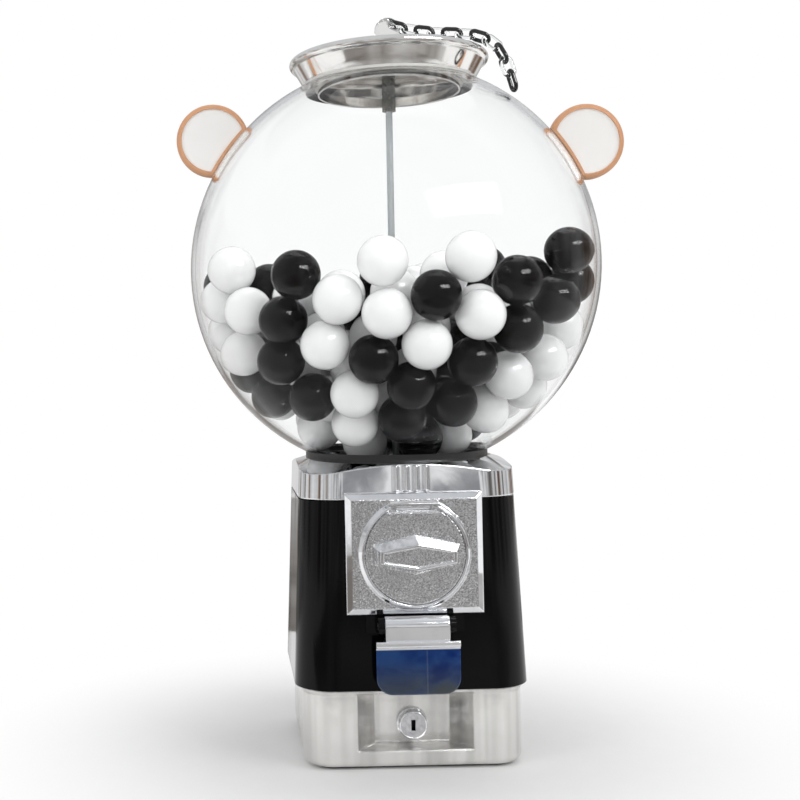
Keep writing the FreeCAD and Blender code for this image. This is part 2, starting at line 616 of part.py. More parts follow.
def make_collar():
    reach = COLLAR_HALF_BOTTOM * 2
    rise = SEAT_TOP + SOLID_OVERLAP
    outside = collar_block(rise)
    cone_foot = SEAT_TOP - (reach - SEAT_RADIUS) * COLLAR_CONE
    under_cone = lathe([(0, cone_foot), (reach, cone_foot), (SEAT_RADIUS, SEAT_TOP), (0, SEAT_TOP)])
    ring = outside.common(under_cone)
    inner_half, inner_corner = COLLAR_HALF_TOP - COLLAR_WALL, COLLAR_CORNER - COLLAR_WALL
    cavity = tapered(inner_half, inner_half, inner_corner, BODY_TOP - SOLID_OVERLAP, FLANGE_BOTTOM)
    for x, y in corners_of(POST_OFFSET, POST_OFFSET):
        cavity = cavity.cut(upright(POST_RADIUS, BODY_TOP, FLANGE_BOTTOM, x, y))
    ring = ring.cut(cavity).cut(upright(GLOBE_MOUTH_RADIUS, FLANGE_BOTTOM - SOLID_OVERLAP, rise))
    for x, y in corners_of(POST_OFFSET, POST_OFFSET):
        ring = ring.cut(upright(SCREW_RADIUS, BODY_TOP, BODY_TOP + SCREW_BITE, x, y))
    ribs = []
    for step in range(RIB_COUNT):
        x = (step - (RIB_COUNT - 1) / 2) * RIB_PITCH
        plate_top = SHAFT_Z + PLATE_HEIGHT / 2
        low = Vector(x, -COLLAR_HALF_BOTTOM + RIB_RADIUS - RIB_OUT, plate_top + LOOSE_GAP)
        high = Vector(x, -COLLAR_HALF_TOP + RIB_RADIUS - RIB_OUT, COLLAR_EDGE - RIB_MARGIN)
        rib = Part.makeCylinder(RIB_RADIUS, low.distanceToPoint(high), low, high - low)
        ribs.append(rib.cut(block(-reach, reach, COLLAR_WALL / 2 - COLLAR_HALF_TOP, 0, BODY_TOP, rise)))
    save("collar", fused([ring, *ribs]))


# Globe: a sphere's shell, open at the collar and at the lid
def make_globe():
    low_outer = math.sqrt(GLOBE_RADIUS ** 2 - (GLOBE_MIDDLE - GLOBE_BOTTOM) ** 2)
    high_outer = math.sqrt(GLOBE_RADIUS ** 2 - (GLOBE_TOP - GLOBE_MIDDLE) ** 2)
    a, b = Vector(GLOBE_MOUTH_RADIUS, 0, GLOBE_BOTTOM), Vector(low_outer, 0, GLOBE_BOTTOM)
    c, d = Vector(high_outer, 0, GLOBE_TOP), Vector(GLOBE_NECK_RADIUS, 0, GLOBE_TOP)
    outer_arc = Part.Arc(b, Vector(GLOBE_RADIUS, 0, GLOBE_MIDDLE), c).toShape()
    inner_arc = Part.Arc(d, Vector(GLOBE_INNER, 0, GLOBE_MIDDLE), a).toShape()
    save("globe", turned([Part.makeLine(a, b), outer_arc, Part.makeLine(c, d), inner_arc]))
    ring = [(GLOBE_MOUTH_RADIUS, SEAT_TOP), (low_outer, SEAT_TOP), (low_outer, GLOBE_BOTTOM),
            (GLOBE_MOUTH_RADIUS, GLOBE_BOTTOM)]
    save("globe_gasket", lathe(ring))
    low = LID_SEAT - LID_GASKET_THICKNESS
    ring = [(LID_SKIRT_RADIUS, low), (high_outer, low), (high_outer, LID_SEAT), (LID_SKIRT_RADIUS, LID_SEAT)]
    save("lid_gasket", lathe(ring))


# Lid: a domed sheet with a rolled rim, flaring in to a seat and a skirt inside the globe's neck
def make_lid():
    sheet, bead = LID_SHEET, LID_BEAD_RADIUS
    dome_centre = LID_TOP - LID_DOME_RADIUS
    edge_r = LID_DOME_EDGE_RADIUS
    inner_r = edge_r - sheet
    hole = STUD_RADIUS + RUNNING_FIT

    def dome(radius, r):
        return Vector(r, 0, dome_centre + math.sqrt(radius ** 2 - r ** 2))

    inside = LID_DOME_RADIUS - sheet
    top_a, top_b, top_c = [dome(LID_DOME_RADIUS, r) for r in (hole, edge_r / 2, edge_r)]
    rim_out, rim_low = Vector(LID_RIM_RADIUS, 0, LID_RIM), Vector(edge_r, 0, LID_RIM - bead)
    seat_out, seat_in = Vector(LID_SEAT_RADIUS, 0, LID_SEAT), Vector(LID_SKIRT_RADIUS, 0, LID_SEAT)
    skirt_low = Vector(LID_SKIRT_RADIUS, 0, LID_SEAT - LID_SKIRT_DEPTH)
    skirt_in = Vector(LID_SKIRT_RADIUS - sheet, 0, LID_SEAT - LID_SKIRT_DEPTH)
    step_in = Vector(LID_SKIRT_RADIUS - sheet, 0, LID_SEAT + sheet)
    step_out = Vector(LID_SEAT_RADIUS - sheet, 0, LID_SEAT + sheet)
    flare_in = Vector(inner_r, 0, LID_RIM - bead + sheet)
    low_a, low_b, low_c = [dome(inside, r) for r in (inner_r, inner_r / 2, hole)]
    path = [Part.Arc(top_a, top_b, top_c).toShape(), Part.Arc(top_c, rim_out, rim_low).toShape()]
    corners = [rim_low, seat_out, seat_in, skirt_low, skirt_in, step_in, step_out, flare_in, low_a]
    path += [Part.makeLine(a, b) for a, b in zip(corners, corners[1:])]
    path += [Part.Arc(low_a, low_b, low_c).toShape(), Part.makeLine(low_c, top_a)]
    save("lid", turned(path))
    hub_hole = upright(STUD_RADIUS + RUNNING_FIT, HUB_BOTTOM, HUB_TOP)
    save("lid_hub", hexagon(HUB_RADIUS, Vector(0, 0, HUB_BOTTOM), UP, HUB_HEIGHT).cut(hub_hole))
    sleeve_hole = upright(ROD_RADIUS + RUNNING_FIT, SLEEVE_BOTTOM, HUB_BOTTOM)
    save("lid_sleeve", upright(SLEEVE_RADIUS, SLEEVE_BOTTOM, HUB_BOTTOM).cut(sleeve_hole))


# Knob with its stud, and the chain that hangs from it
def link(centre, along, side, wire):
    """One oval link: along its length, side across it, wire is its thickness."""
    half_width = (LINK_WIDTH - LINK_WIRE) / 2
    straight = LINK_LENGTH / 2 - LINK_WIRE / 2 - half_width
    ends = [centre + along * straight, centre - along * straight]
    a, b = ends[0] + side * half_width, ends[0] - side * half_width
    c, d = ends[1] - side * half_width, ends[1] + side * half_width
    round_a = Part.Arc(a, ends[0] + along * half_width, b).toShape()
    round_b = Part.Arc(c, ends[1] - along * half_width, d).toShape()
    path = Part.Wire([Part.makeLine(d, a), round_a, Part.makeLine(b, c), round_b])
    section = Part.Wire(Part.makeCircle(wire / 2, d, along))
    return path.makePipeShell([section], True, False)


def chain_places():
    """Centres and directions of all links, each a quarter turn from the one before."""
    turn, twist = math.radians(CHAIN_TURN_DEG), math.radians(LINK_TWIST_DEG)
    outward = Vector(math.cos(turn), math.sin(turn), 0)
    across = Vector(-math.sin(turn), math.cos(turn), 0)
    pitch = LINK_LENGTH - 2 * LINK_WIRE - LINK_PLAY
    joint = outward * CHAIN_START[0] + UP * (GLOBE_TOP + CHAIN_START[1])
    places = []
    for index, fall_deg in enumerate(LINK_FALLS_DEG):
        fall = math.radians(fall_deg)
        along = outward * math.cos(fall) - UP * math.sin(fall)
        upward = across.cross(along)
        side = across * math.cos(twist) + upward * math.sin(twist)
        places.append((joint + along * (pitch / 2), along, side.cross(along) if index % 2 else side))
        joint = joint + along * pitch
    return places


def make_knob_and_chain():
    places = chain_places()
    centre = KNOB_TOP - KNOB_RADIUS
    foot_top = KNOB_BOTTOM + KNOB_FOOT_HEIGHT
    a, b = Vector(0, 0, KNOB_BOTTOM), Vector(KNOB_FOOT_RADIUS, 0, KNOB_BOTTOM)
    shoulder = foot_top + KNOB_RADIUS - KNOB_FOOT_RADIUS
    c, d = Vector(KNOB_FOOT_RADIUS, 0, foot_top), Vector(KNOB_RADIUS, 0, shoulder)
    e, top = Vector(KNOB_RADIUS, 0, centre), Vector(0, 0, KNOB_TOP)
    bend = Vector(KNOB_RADIUS * math.sqrt(0.5), 0, centre + KNOB_RADIUS * math.sqrt(0.5))
    corners = [a, b, c, d, e]
    edges = [Part.makeLine(p, q) for p, q in zip(corners, corners[1:])]
    edges += [Part.Arc(e, bend, top).toShape(), Part.makeLine(top, a)]
    stud_top = KNOB_BOTTOM + STUD_BITE
    first, along, side = places[0]
    passage = link(first, along, side, LINK_WIRE + 2 * LINK_HOLE_GAP)
    save("knob", turned(edges).cut(upright(STUD_RADIUS, KNOB_BOTTOM, stud_top)).cut(passage))
    save("knob_stud", upright(STUD_RADIUS, HUB_BOTTOM + LOOSE_GAP, stud_top))
    links = [link(*place, LINK_WIRE) for place in places]
    save("chain_black_links", Part.makeCompound(links[::2]))
    save("chain_clear_links", Part.makeCompound(links[1::2]))


# Ears: a dished face in a round rim, bedded on a pad that follows the globe
def make_ears():
    reach = GLOBE_RADIUS + EAR_REACH
    face_radius = EAR_RADIUS - EAR_RIM_WIDTH
    dish_radius = (face_radius ** 2 + EAR_DISH_DEPTH ** 2) / (2 * EAR_DISH_DEPTH)
    bedding = Part.makeSphere(GLOBE_RADIUS + EAR_PAD_THICKNESS, GLOBE_CENTRE)
    pad_shell = bedding.cut(Part.makeSphere(GLOBE_RADIUS, GLOBE_CENTRE))
    band_limit = Part.makeSphere(GLOBE_RADIUS + EAR_PAD_THICKNESS + EAR_BAND, GLOBE_CENTRE)
    left = ("left", LEFT_EAR_TURN_DEG, LEFT_EAR_RISE_DEG)
    right = ("right", RIGHT_EAR_TURN_DEG, RIGHT_EAR_RISE_DEG)
    for name, turn_deg, rise_deg in (left, right):
        x, middle, z = on_globe(turn_deg, rise_deg, reach)
        front = middle - EAR_THICKNESS / 2
        face_front = front + EAR_FACE_INSET
        rim = level(EAR_RADIUS, front, front + EAR_THICKNESS, x, z)
        circles = [edge for edge in rim.Edges if edge.Curve.TypeId == "Part::GeomCircle"]
        rim = rim.makeFillet(EAR_ROUND, circles)
        seat = level(face_radius, front, face_front + EAR_FACE_THICKNESS, x, z).cut(band_limit)
        save(f"ear_{name}_rim", rim.cut(seat).cut(bedding))
        face = level(face_radius, face_front, face_front + EAR_FACE_THICKNESS, x, z)
        dish = Part.makeSphere(dish_radius, Vector(x, face_front + EAR_DISH_DEPTH - dish_radius, z))
        save(f"ear_{name}_face", face.cut(dish).cut(band_limit))
        pad_front, pad_back = front + EAR_ROUND, front + EAR_THICKNESS - EAR_ROUND
        footprint = level(EAR_RADIUS - EAR_ROUND, pad_front, pad_back, x, z)
        save(f"ear_{name}_pad", footprint.common(pad_shell))


# Hopper: floor, bridge, rod, wheel with pockets and pegs, guard over the drop hole
def make_hopper():
    rod_hole = ROD_RADIUS
    floor_radius = PEG_CIRCLE - PEG_RADIUS - FLOOR_TO_PEGS
    disc = upright(floor_radius, HOPPER_BOTTOM, HOPPER_TOP)
    disc = disc.cut(upright(DROP_HOLE_RADIUS, HOPPER_BOTTOM, HOPPER_TOP, 0, POCKET_CIRCLE))
    boss = block(-BOSS_HALF, BOSS_HALF, -BRIDGE_FRONT, BRIDGE_BACK, BRIDGE_TOP, HOPPER_BOTTOM)
    save("hopper_floor", fused([disc, boss]).cut(upright(rod_hole, BRIDGE_TOP, HOPPER_TOP)))
    reach = body_half(BRIDGE_TOP) - BODY_WALL - LOOSE_GAP
    bar = block(-reach, reach, -BRIDGE_FRONT, BRIDGE_BACK, BRIDGE_BOTTOM, BRIDGE_TOP)
    bolt_x = body_half(BRIDGE_BOTTOM - LUG_HEIGHT) - BODY_WALL - LUG_LENGTH / 2
    for x in (-bolt_x, bolt_x):
        bar = bar.cut(upright(SCREW_RADIUS, BRIDGE_BOTTOM, BRIDGE_TOP, x))
    save("hopper_bridge", bar.cut(upright(rod_hole, BRIDGE_BOTTOM, BRIDGE_TOP)))
    washer_low = BRIDGE_BOTTOM - WASHER_THICKNESS
    nut_low = washer_low - ROD_NUT_HEIGHT
    save("center_rod", upright(ROD_RADIUS, nut_low - SHAFT_END, ROD_TOP))
    washer = upright(WASHER_RADIUS, washer_low, BRIDGE_BOTTOM)
    save("rod_washer", washer.cut(upright(rod_hole, washer_low, BRIDGE_BOTTOM)))
    nut = hexagon(ROD_NUT_RADIUS, Vector(0, 0, nut_low), UP, ROD_NUT_HEIGHT)
    save("rod_nut", nut.cut(upright(rod_hole, nut_low, washer_low)))
    wheel = upright(WHEEL_RADIUS, WHEEL_BOTTOM, WHEEL_TOP)
    wheel = wheel.cut(upright(BUSH_RADIUS, WHEEL_BOTTOM, WHEEL_TOP))
    pocket_balls = []
    for step in range(POCKET_COUNT):
        turn = math.radians(90 + step * 360 / POCKET_COUNT)
        x, y = POCKET_CIRCLE * math.cos(turn), POCKET_CIRCLE * math.sin(turn)
        wheel = wheel.cut(upright(POCKET_RADIUS, WHEEL_BOTTOM, WHEEL_TOP, x, y))
        if step:
            ball_place = Vector(x, y, HOPPER_TOP + LOOSE_GAP + BALL_RADIUS)
            pocket_balls.append(Part.makeSphere(BALL_RADIUS, ball_place))
    pegs = []
    for step in range(PEG_COUNT):
        turn = math.radians(-90 + (step + 0.5) * 360 / PEG_COUNT)
        x, y = PEG_CIRCLE * math.cos(turn), PEG_CIRCLE * math.sin(turn)
        pegs.append(upright(PEG_RADIUS, PEG_BOTTOM, WHEEL_BOTTOM, x, y))
    save("dispensing_wheel", wheel)
    save("wheel_pegs", Part.makeCompound(pegs))
    save("pocket_gumballs", Part.makeCompound(pocket_balls))
    bush_low = HOPPER_TOP + LOOSE_GAP
    bush = upright(BUSH_RADIUS, bush_low, WHEEL_TOP)
    save("wheel_bush", bush.cut(upright(ROD_RADIUS + RUNNING_FIT, bush_low, WHEEL_TOP)))
    guard_low = FLANGE_BOTTOM - GUARD_THICKNESS
    guard_back = COLLAR_HALF_TOP - COLLAR_WALL - GUARD_TO_WALL
    save("ball_guard", block(-GUARD_HALF, GUARD_HALF, GUARD_FRONT, guard_back, guard_low, FLANGE_BOTTOM))


# Coin plate: bevelled front, raised ring with a gap for the coin slot, hollow behind
def plate_outline(inset, y):
    """The plate's rectangle, drawn in by the bevel, at a depth."""
    half, rise = PLATE_WIDTH / 2 - inset, PLATE_HEIGHT / 2 - inset
    places = [(-half, -rise), (half, -rise), (half, rise), (-half, rise)]
    corners = [Vector(x, y, SHAFT_Z + z) for x, z in places]
    return Part.makePolygon(corners + corners[:1])


def make_coin_plate():
    z0 = SHAFT_Z - PLATE_HEIGHT / 2
    half = PLATE_WIDTH / 2
    depth = PLATE_FRONT - BODY_HALF_TOP + PLATE_SKIN
    bevel_back = -PLATE_FRONT + PLATE_BEVEL_DEPTH
    slab = block(-half, half, bevel_back, -PLATE_FRONT + depth, z0, z0 + PLATE_HEIGHT)
    outlines = [plate_outline(PLATE_BEVEL, -PLATE_FRONT), plate_outline(0.0, bevel_back)]
    bevel = Part.makeLoft(outlines, True, True)
    slab = fused([slab, bevel])
    slab = slab.cut(body_block(0.0, BASE_TOP, BODY_TOP + PLATE_HEIGHT)).cut(collar_block(SEAT_TOP))
    ring_front = -PLATE_FRONT - RING_OUT
    ring_inner = RING_RADIUS - RING_WIDTH
    crest = Vector(0, ring_front, SHAFT_Z)
    ring = Part.makeCone(ring_inner + RING_CREST, RING_RADIUS, RING_OUT + SOLID_OVERLAP, crest, BACKWARD)
    ring = ring.cut(level(ring_inner, ring_front, -PLATE_FRONT, 0, SHAFT_Z))
    gap_low = SHAFT_Z + DIAL_FLAT
    gap_high = SHAFT_Z + RING_RADIUS
    ring = ring.cut(block(-RING_GAP_HALF, RING_GAP_HALF, ring_front, -PLATE_FRONT, gap_low, gap_high))
    field_low, field_high = z0 + PLATE_BEVEL, z0 + PLATE_HEIGHT - PLATE_BEVEL
    ring = ring.common(block(-half, half, ring_front, -PLATE_FRONT + SOLID_OVERLAP, field_low, field_high))
    slot_low = gap_low + COIN_SLOT_RISE
    slot_high = slot_low + COIN_SLOT_HEIGHT
    ledge_low = SHAFT_Z + DIAL_RADIUS + SLIDE_GAP
    ledge = block(-RING_GAP_HALF, RING_GAP_HALF, ring_front, -PLATE_FRONT + SOLID_OVERLAP,
                  ledge_low, ledge_low + LEDGE_HEIGHT)
    plate = fused([slab, ring, ledge])
    room = block(POCKET_MARGIN - WINDOW_HALF_WIDTH, WINDOW_HALF_WIDTH - POCKET_MARGIN, PLATE_INNER, 0,
                 SHAFT_Z + POCKET_MARGIN - WINDOW_HALF_HEIGHT, SHAFT_Z + WINDOW_HALF_HEIGHT - POCKET_MARGIN)
    boss_back = CARRIER_FRONT - CARRIER_GAP
    room = room.cut(level(SHAFT_BOSS_RADIUS, PLATE_INNER, boss_back, 0, SHAFT_Z))
    plate = plate.cut(room)
    slot_half = COIN_SLOT_LENGTH / 2
    plate = plate.cut(block(-slot_half, slot_half, ring_front, PLATE_INNER, slot_low, slot_high))
    plate = plate.cut(level(SHAFT_BUSH_RADIUS, -PLATE_FRONT, boss_back, 0, SHAFT_Z))
    plate_screws = []
    for x, z in corners_of(PLATE_SCREW_X, PLATE_SCREW_Z):
        height = SHAFT_Z + z
        wall_inner = BODY_WALL - body_half(height + SCREW_HEAD_RADIUS)
        place = Vector(x, wall_inner + LOOSE_GAP, height)
        plate_screws.append(screw(place, -BACKWARD, SCREW_BITE))
        plate = plate.cut(level(SCREW_RADIUS, place.y - SCREW_BITE, 0, x, height))
    mech_screws, spacers = [], []
    for x, z in corners_of(SPACER_X, SPACER_Z):
        height = SHAFT_Z + z
        place = Vector(x, BACK_PLATE_BACK, height)
        length = BACK_PLATE_BACK - PLATE_INNER + SPACER_SCREW_BITE
        mech_screws.append(screw(place, -BACKWARD, length))
        plate = plate.cut(level(SCREW_RADIUS, BACK_PLATE_BACK - length, PLATE_INNER, x, height))
        tube = level(SPACER_RADIUS, PLATE_INNER, BACK_PLATE_FRONT, x, height)
        spacers.append(tube.cut(level(SCREW_RADIUS, PLATE_INNER, BACK_PLATE_FRONT, x, height)))
    save("coin_plate", plate)
    save("plate_screws", Part.makeCompound(plate_screws))
    save("mechanism_screws", Part.makeCompound(mech_screws))
    save("mechanism_spacers", Part.makeCompound(spacers))
    bush = level(SHAFT_BUSH_RADIUS, -PLATE_FRONT, boss_back, 0, SHAFT_Z)
    save("shaft_bush", bush.cut(level(SHAFT_RADIUS + RUNNING_FIT, -PLATE_FRONT, boss_back, 0, SHAFT_Z)))
    sheet = block(-BACK_PLATE_HALF_WIDTH, BACK_PLATE_HALF_WIDTH, BACK_PLATE_FRONT, BACK_PLATE_BACK,
                  SHAFT_Z - BACK_PLATE_HALF_HEIGHT, SHAFT_Z + BACK_PLATE_HALF_HEIGHT)
    sheet = sheet.cut(level(SHAFT_RADIUS + RUNNING_FIT, BACK_PLATE_FRONT, BACK_PLATE_BACK, 0, SHAFT_Z))
    for x, z in corners_of(SPACER_X, SPACER_Z):
        sheet = sheet.cut(level(SCREW_RADIUS, BACK_PLATE_FRONT, BACK_PLATE_BACK, x, SHAFT_Z + z))
    save("mechanism_back_plate", sheet)


# Turn handle: dial and grip in one casting, with the shaft, coin carrier, star gear and nut behind it
def grip_outline(shrink, y):
    """The grip's long hexagon, drawn in by a rim, at a depth."""
    half, middle, end = GRIP_LENGTH / 2 - shrink, GRIP_HEIGHT / 2 - shrink, GRIP_END_HEIGHT / 2 - shrink / 2
    places = [(-half, -end), (0, -middle), (half, -end), (half, end), (0, middle), (-half, end)]
    corners = [Vector(x, y, SHAFT_Z + z) for x, z in places]
    return Part.makePolygon(corners + corners[:1])


def make_handle():
    dial = level(DIAL_RADIUS, DIAL_FACE, DIAL_BACK, 0, SHAFT_Z)
    flat, top = SHAFT_Z + DIAL_FLAT, SHAFT_Z + DIAL_RADIUS
    dial = dial.cut(block(-DIAL_RADIUS, DIAL_RADIUS, DIAL_FACE, DIAL_BACK, flat, top))
    root = DIAL_FACE + SOLID_OVERLAP
    grip = Part.makeLoft([grip_outline(-GRIP_ROOT_GROWTH, root), grip_outline(0.0, GRIP_FACE)], True, True)
    panel_back = GRIP_FACE + GRIP_PANEL_DEPTH
    panel = Part.Face(grip_outline(GRIP_PANEL_RIM, panel_back))
    panel = panel.extrude(-BACKWARD * (GRIP_PANEL_DEPTH + SOLID_OVERLAP))
    socket = level(SHAFT_RADIUS, DIAL_BACK - SHAFT_SOCKET, DIAL_BACK, 0, SHAFT_Z)
    save("turn_handle", fused([dial, grip]).cut(panel).cut(socket))
    save("handle_shaft", level(SHAFT_RADIUS, DIAL_BACK - SHAFT_SOCKET, SHAFT_BACK, 0, SHAFT_Z))
    shaft_room = level(SHAFT_RADIUS, CARRIER_FRONT, SHAFT_BACK, 0, SHAFT_Z)
    carrier = level(CARRIER_RADIUS, CARRIER_FRONT, CARRIER_BACK, 0, SHAFT_Z)
    coin_seat = level(COIN_RADIUS, CARRIER_FRONT, CARRIER_BACK, 0, SHAFT_Z + CARRIER_RADIUS - COIN_SEAT_DROP)
    save("coin_carrier", carrier.cut(coin_seat).cut(shaft_room))
    pieces = [level(GEAR_PITCH_RADIUS - GEAR_ROOT, GEAR_FRONT, GEAR_BACK, 0, SHAFT_Z)]
    tip = GEAR_PITCH_RADIUS + GEAR_TIP - GEAR_TOOTH_WIDTH / 2
    for step in range(GEAR_TEETH):
        tooth = block(-GEAR_TOOTH_WIDTH / 2, GEAR_TOOTH_WIDTH / 2, GEAR_FRONT, GEAR_BACK, 0, tip)
        tooth = tooth.fuse(level(GEAR_TOOTH_WIDTH / 2, GEAR_FRONT, GEAR_BACK, 0, tip))
        turn = FreeCAD.Rotation(BACKWARD, step * 360 / GEAR_TEETH)
        tooth.Placement = FreeCAD.Placement(Vector(0, 0, SHAFT_Z), turn)
        pieces.append(tooth)
    save("star_gear", fused(pieces).cut(shaft_room))
    nut = hexagon(SHAFT_NUT_RADIUS, Vector(0, GEAR_BACK, SHAFT_Z), BACKWARD, SHAFT_NUT_HEIGHT)
    save("shaft_nut", nut.cut(shaft_room))


# Coin guide: a bent sheet that turns the coin aside, over the chute
def make_coin_guide():
    high = SHAFT_Z - BACK_PLATE_HALF_HEIGHT - GUIDE_DROP
    low = high - GUIDE_FALL
    wall_inner = min(body_half(high), body_half(low - GUIDE_SHEET)) - BODY_WALL
    y0, y1 = LOOSE_GAP - wall_inner, BACK_PLATE_BACK + GUIDE_SHEET
    slope = [(GUIDE_LEFT, y0, high), (GUIDE_RIGHT, y0, low), (GUIDE_RIGHT, y0, low - GUIDE_SHEET),
             (GUIDE_LEFT, y0, high - GUIDE_SHEET)]
    ramp = prism(slope, BACKWARD * (y1 - y0))
    y2 = BACK_PLATE_BACK
    back = [(GUIDE_LEFT, y2, high - GUIDE_SHEET), (GUIDE_RIGHT, y2, low - GUIDE_SHEET),
            (GUIDE_RIGHT, y2, low + GUIDE_TAB), (GUIDE_LEFT / 2, y2, high + GUIDE_TAB),
            (GUIDE_LEFT, y2, high + GUIDE_TAB)]
    save("coin_guide", fused([ramp, prism(back, BACKWARD * GUIDE_SHEET)]))


# Chute: a sloping trough from the drop hole to the door
def make_chute():
    half = CHUTE_WIDTH / 2
    outer_half = half + CHUTE_SHEET
    lip, back = -CHUTE_LIP, CHUTE_BACK
    wall_back = back + CHUTE_SHEET
    top_back = PEG_BOTTOM - CHUTE_TOP_GAP
    neck = BRIDGE_BACK + CHUTE_TOP_GAP
    outline = [(lip, chute_floor(lip) - CHUTE_SHEET), (wall_back, chute_floor(wall_back) - CHUTE_SHEET),
               (wall_back, top_back), (neck, top_back), (neck, chute_floor(neck) + CHUTE_WALL_HEIGHT),
               (lip, chute_floor(lip) + CHUTE_WALL_HEIGHT)]
    trough = prism([(-outer_half, y, z) for y, z in outline], RIGHT * (2 * outer_half))
    open_front = lip - SOLID_OVERLAP
    hollow = [(open_front, chute_floor(open_front)), (back, chute_floor(back)), (back, HOPPER_TOP),
              (open_front, HOPPER_TOP)]
    save("chute", trough.cut(prism([(-half, y, z) for y, z in hollow], RIGHT * CHUTE_WIDTH)))


# Chute door: a flap that hangs from a barrel on a pin between two brackets
def make_door():
    half_barrel = BARREL_LENGTH / 2
    barrel = Part.makeCylinder(BARREL_RADIUS, BARREL_LENGTH, Vector(-half_barrel, HINGE_Y, HINGE_Z), RIGHT)
    front = FLAP_FRONT
    half = FLAP_WIDTH / 2
    sheet = block(-half, half, front, front + FLAP_SHEET, FLAP_BOTTOM, FLAP_TOP)
    thick_edges = [edge for edge in sheet.Edges if edge.BoundBox.YLength > FLAP_SHEET / 2]
    low_corners = [edge for edge in thick_edges if edge.BoundBox.ZMax < FLAP_TOP - SOLID_OVERLAP]
    sheet = sheet.makeFillet(FLAP_CORNER, low_corners)
    hanger = block(-half_barrel, half_barrel, front, front + FLAP_SHEET, FLAP_TOP - SOLID_OVERLAP, HINGE_Z)
    lip_low = FLAP_TOP - FLAP_LIP_HEIGHT
    lip = block(-half, half, front - FLAP_LIP_OUT, front + SOLID_OVERLAP, lip_low, FLAP_TOP)
    lip_edges = [edge for edge in lip.Edges if edge.BoundBox.XLength > half and edge.BoundBox.YMax < front]
    lip = lip.makeFillet(FLAP_LIP_ROUND, lip_edges)
    bore = Part.makeCylinder(PIN_RADIUS + RUNNING_FIT, FLAP_WIDTH, Vector(-half, HINGE_Y, HINGE_Z), RIGHT)
    save("chute_door", fused([sheet, hanger, lip, barrel]).cut(bore))
    near = half_barrel + LOOSE_GAP
    far = near + BRACKET_THICKNESS
    save("door_pin", Part.makeCylinder(PIN_RADIUS, 2 * far, Vector(-far, HINGE_Y, HINGE_Z), RIGHT))
    body = body_block(0.0, BASE_TOP, BODY_TOP)
    low, high = HINGE_Z - BRACKET_RADIUS, HINGE_Z + BRACKET_RADIUS
    wall_front, wall_back = max(body_half(low), body_half(high)), min(body_half(low), body_half(high))
    foot_front, bracket_back = -wall_front - BRACKET_FOOT_THICKNESS, SOLID_OVERLAP - wall_back
    brackets = []
    for side in (-1, 1):
        x0, x1 = sorted((side * near, side * far))
        eye = Part.makeCylinder(BRACKET_RADIUS, BRACKET_THICKNESS, Vector(x0, HINGE_Y, HINGE_Z), RIGHT)
        arm = block(x0, x1, HINGE_Y, bracket_back, low, high)
        foot_x = sorted((side * far, side * (far + BRACKET_FOOT_WIDTH)))
        foot = block(foot_x[0], foot_x[1], foot_front, bracket_back, low, high)
        pin_room = Part.makeCylinder(PIN_RADIUS, BRACKET_THICKNESS, Vector(x0, HINGE_Y, HINGE_Z), RIGHT)
        brackets.append(fused([eye, arm, foot]).cut(body).cut(pin_room))
    save("door_brackets", Part.makeCompound(brackets))


# Balls: the ones against the glass first, then each further ball in the lowest place still free
def spread_apart(places, reach, pitch):
    """Pushes balls apart until none touch, keeping them inside the globe and off the rod."""
    rod_room = ROD_RADIUS + BALL_RADIUS + BALL_GAP
    for _ in range(SPREAD_ROUNDS):
        worst = 0.0
        for i, a in enumerate(places):
            for b in places[:i]:
                gap = math.dist(a, b)
                if gap < pitch:
                    worst = max(worst, pitch - gap)
                    push = (pitch + SPREAD_EASE - gap) / 2 / gap
                    for k in range(3):
                        step = (a[k] - b[k]) * push
                        a[k] += step
                        b[k] -= step
            out = math.dist(a, (0, 0, GLOBE_MIDDLE))
            if out > reach:
                a[0], a[1] = a[0] * reach / out, a[1] * reach / out
                a[2] = GLOBE_MIDDLE + (a[2] - GLOBE_MIDDLE) * reach / out
            off_axis = math.hypot(a[0], a[1])
            if off_axis < rod_room:
                a[0], a[1] = a[0] * rod_room / off_axis, a[1] * rod_room / off_axis
        if worst == 0.0:
            break


def lowest_free(x, y, places, reach, pitch):
    """Lowest height at which a ball fits in the column at x, y."""
    height = GLOBE_MIDDLE - math.sqrt(reach ** 2 - x * x - y * y)
    blocked = []
    for a in places:
        across = (a[0] - x) ** 2 + (a[1] - y) ** 2
        if across < pitch ** 2:
            half = math.sqrt(pitch ** 2 - across)
            blocked.append((a[2] - half, a[2] + half))
    for low, high in sorted(blocked):
        if low >= height:
            break
        height = max(height, high)
    return height


def make_balls():
    chance = random.Random(BALL_SEED)
    reach = GLOBE_INNER - BALL_RADIUS - BALL_GAP
    pitch = 2 * BALL_RADIUS + BALL_GAP
    rod_room = ROD_RADIUS + BALL_RADIUS + BALL_GAP
    places = [on_globe(turn, rise, reach) for turn, rise in WHITE_FRONT_BALLS + BLACK_FRONT_BALLS]
    spread_apart(places, reach, pitch)
    colours = ["white"] * len(WHITE_FRONT_BALLS) + ["black"] * len(BLACK_FRONT_BALLS)
    fill_limit = GLOBE_MIDDLE + FILL_RISE - BALL_RADIUS
    while True:
        tries = []
        for _ in range(COLUMN_TRIES):
            turn = chance.uniform(0, 2 * math.pi)
            out = math.sqrt(chance.uniform(rod_room ** 2, (reach - BALL_GAP) ** 2))
            x, y = out * math.cos(turn), out * math.sin(turn)
            tries.append((lowest_free(x, y, places, reach, pitch), x, y))
        height, x, y = min(tries)
        if height > fill_limit:
            break
        places.append([x, y, height])
        colours.append(chance.choice(("black", "white")))
    for colour in ("black", "white"):
        spheres = [Part.makeSphere(BALL_RADIUS, Vector(*p)) for p, c in zip(places, colours) if c == colour]
        save(f"gumballs_{colour}", Part.makeCompound(spheres))


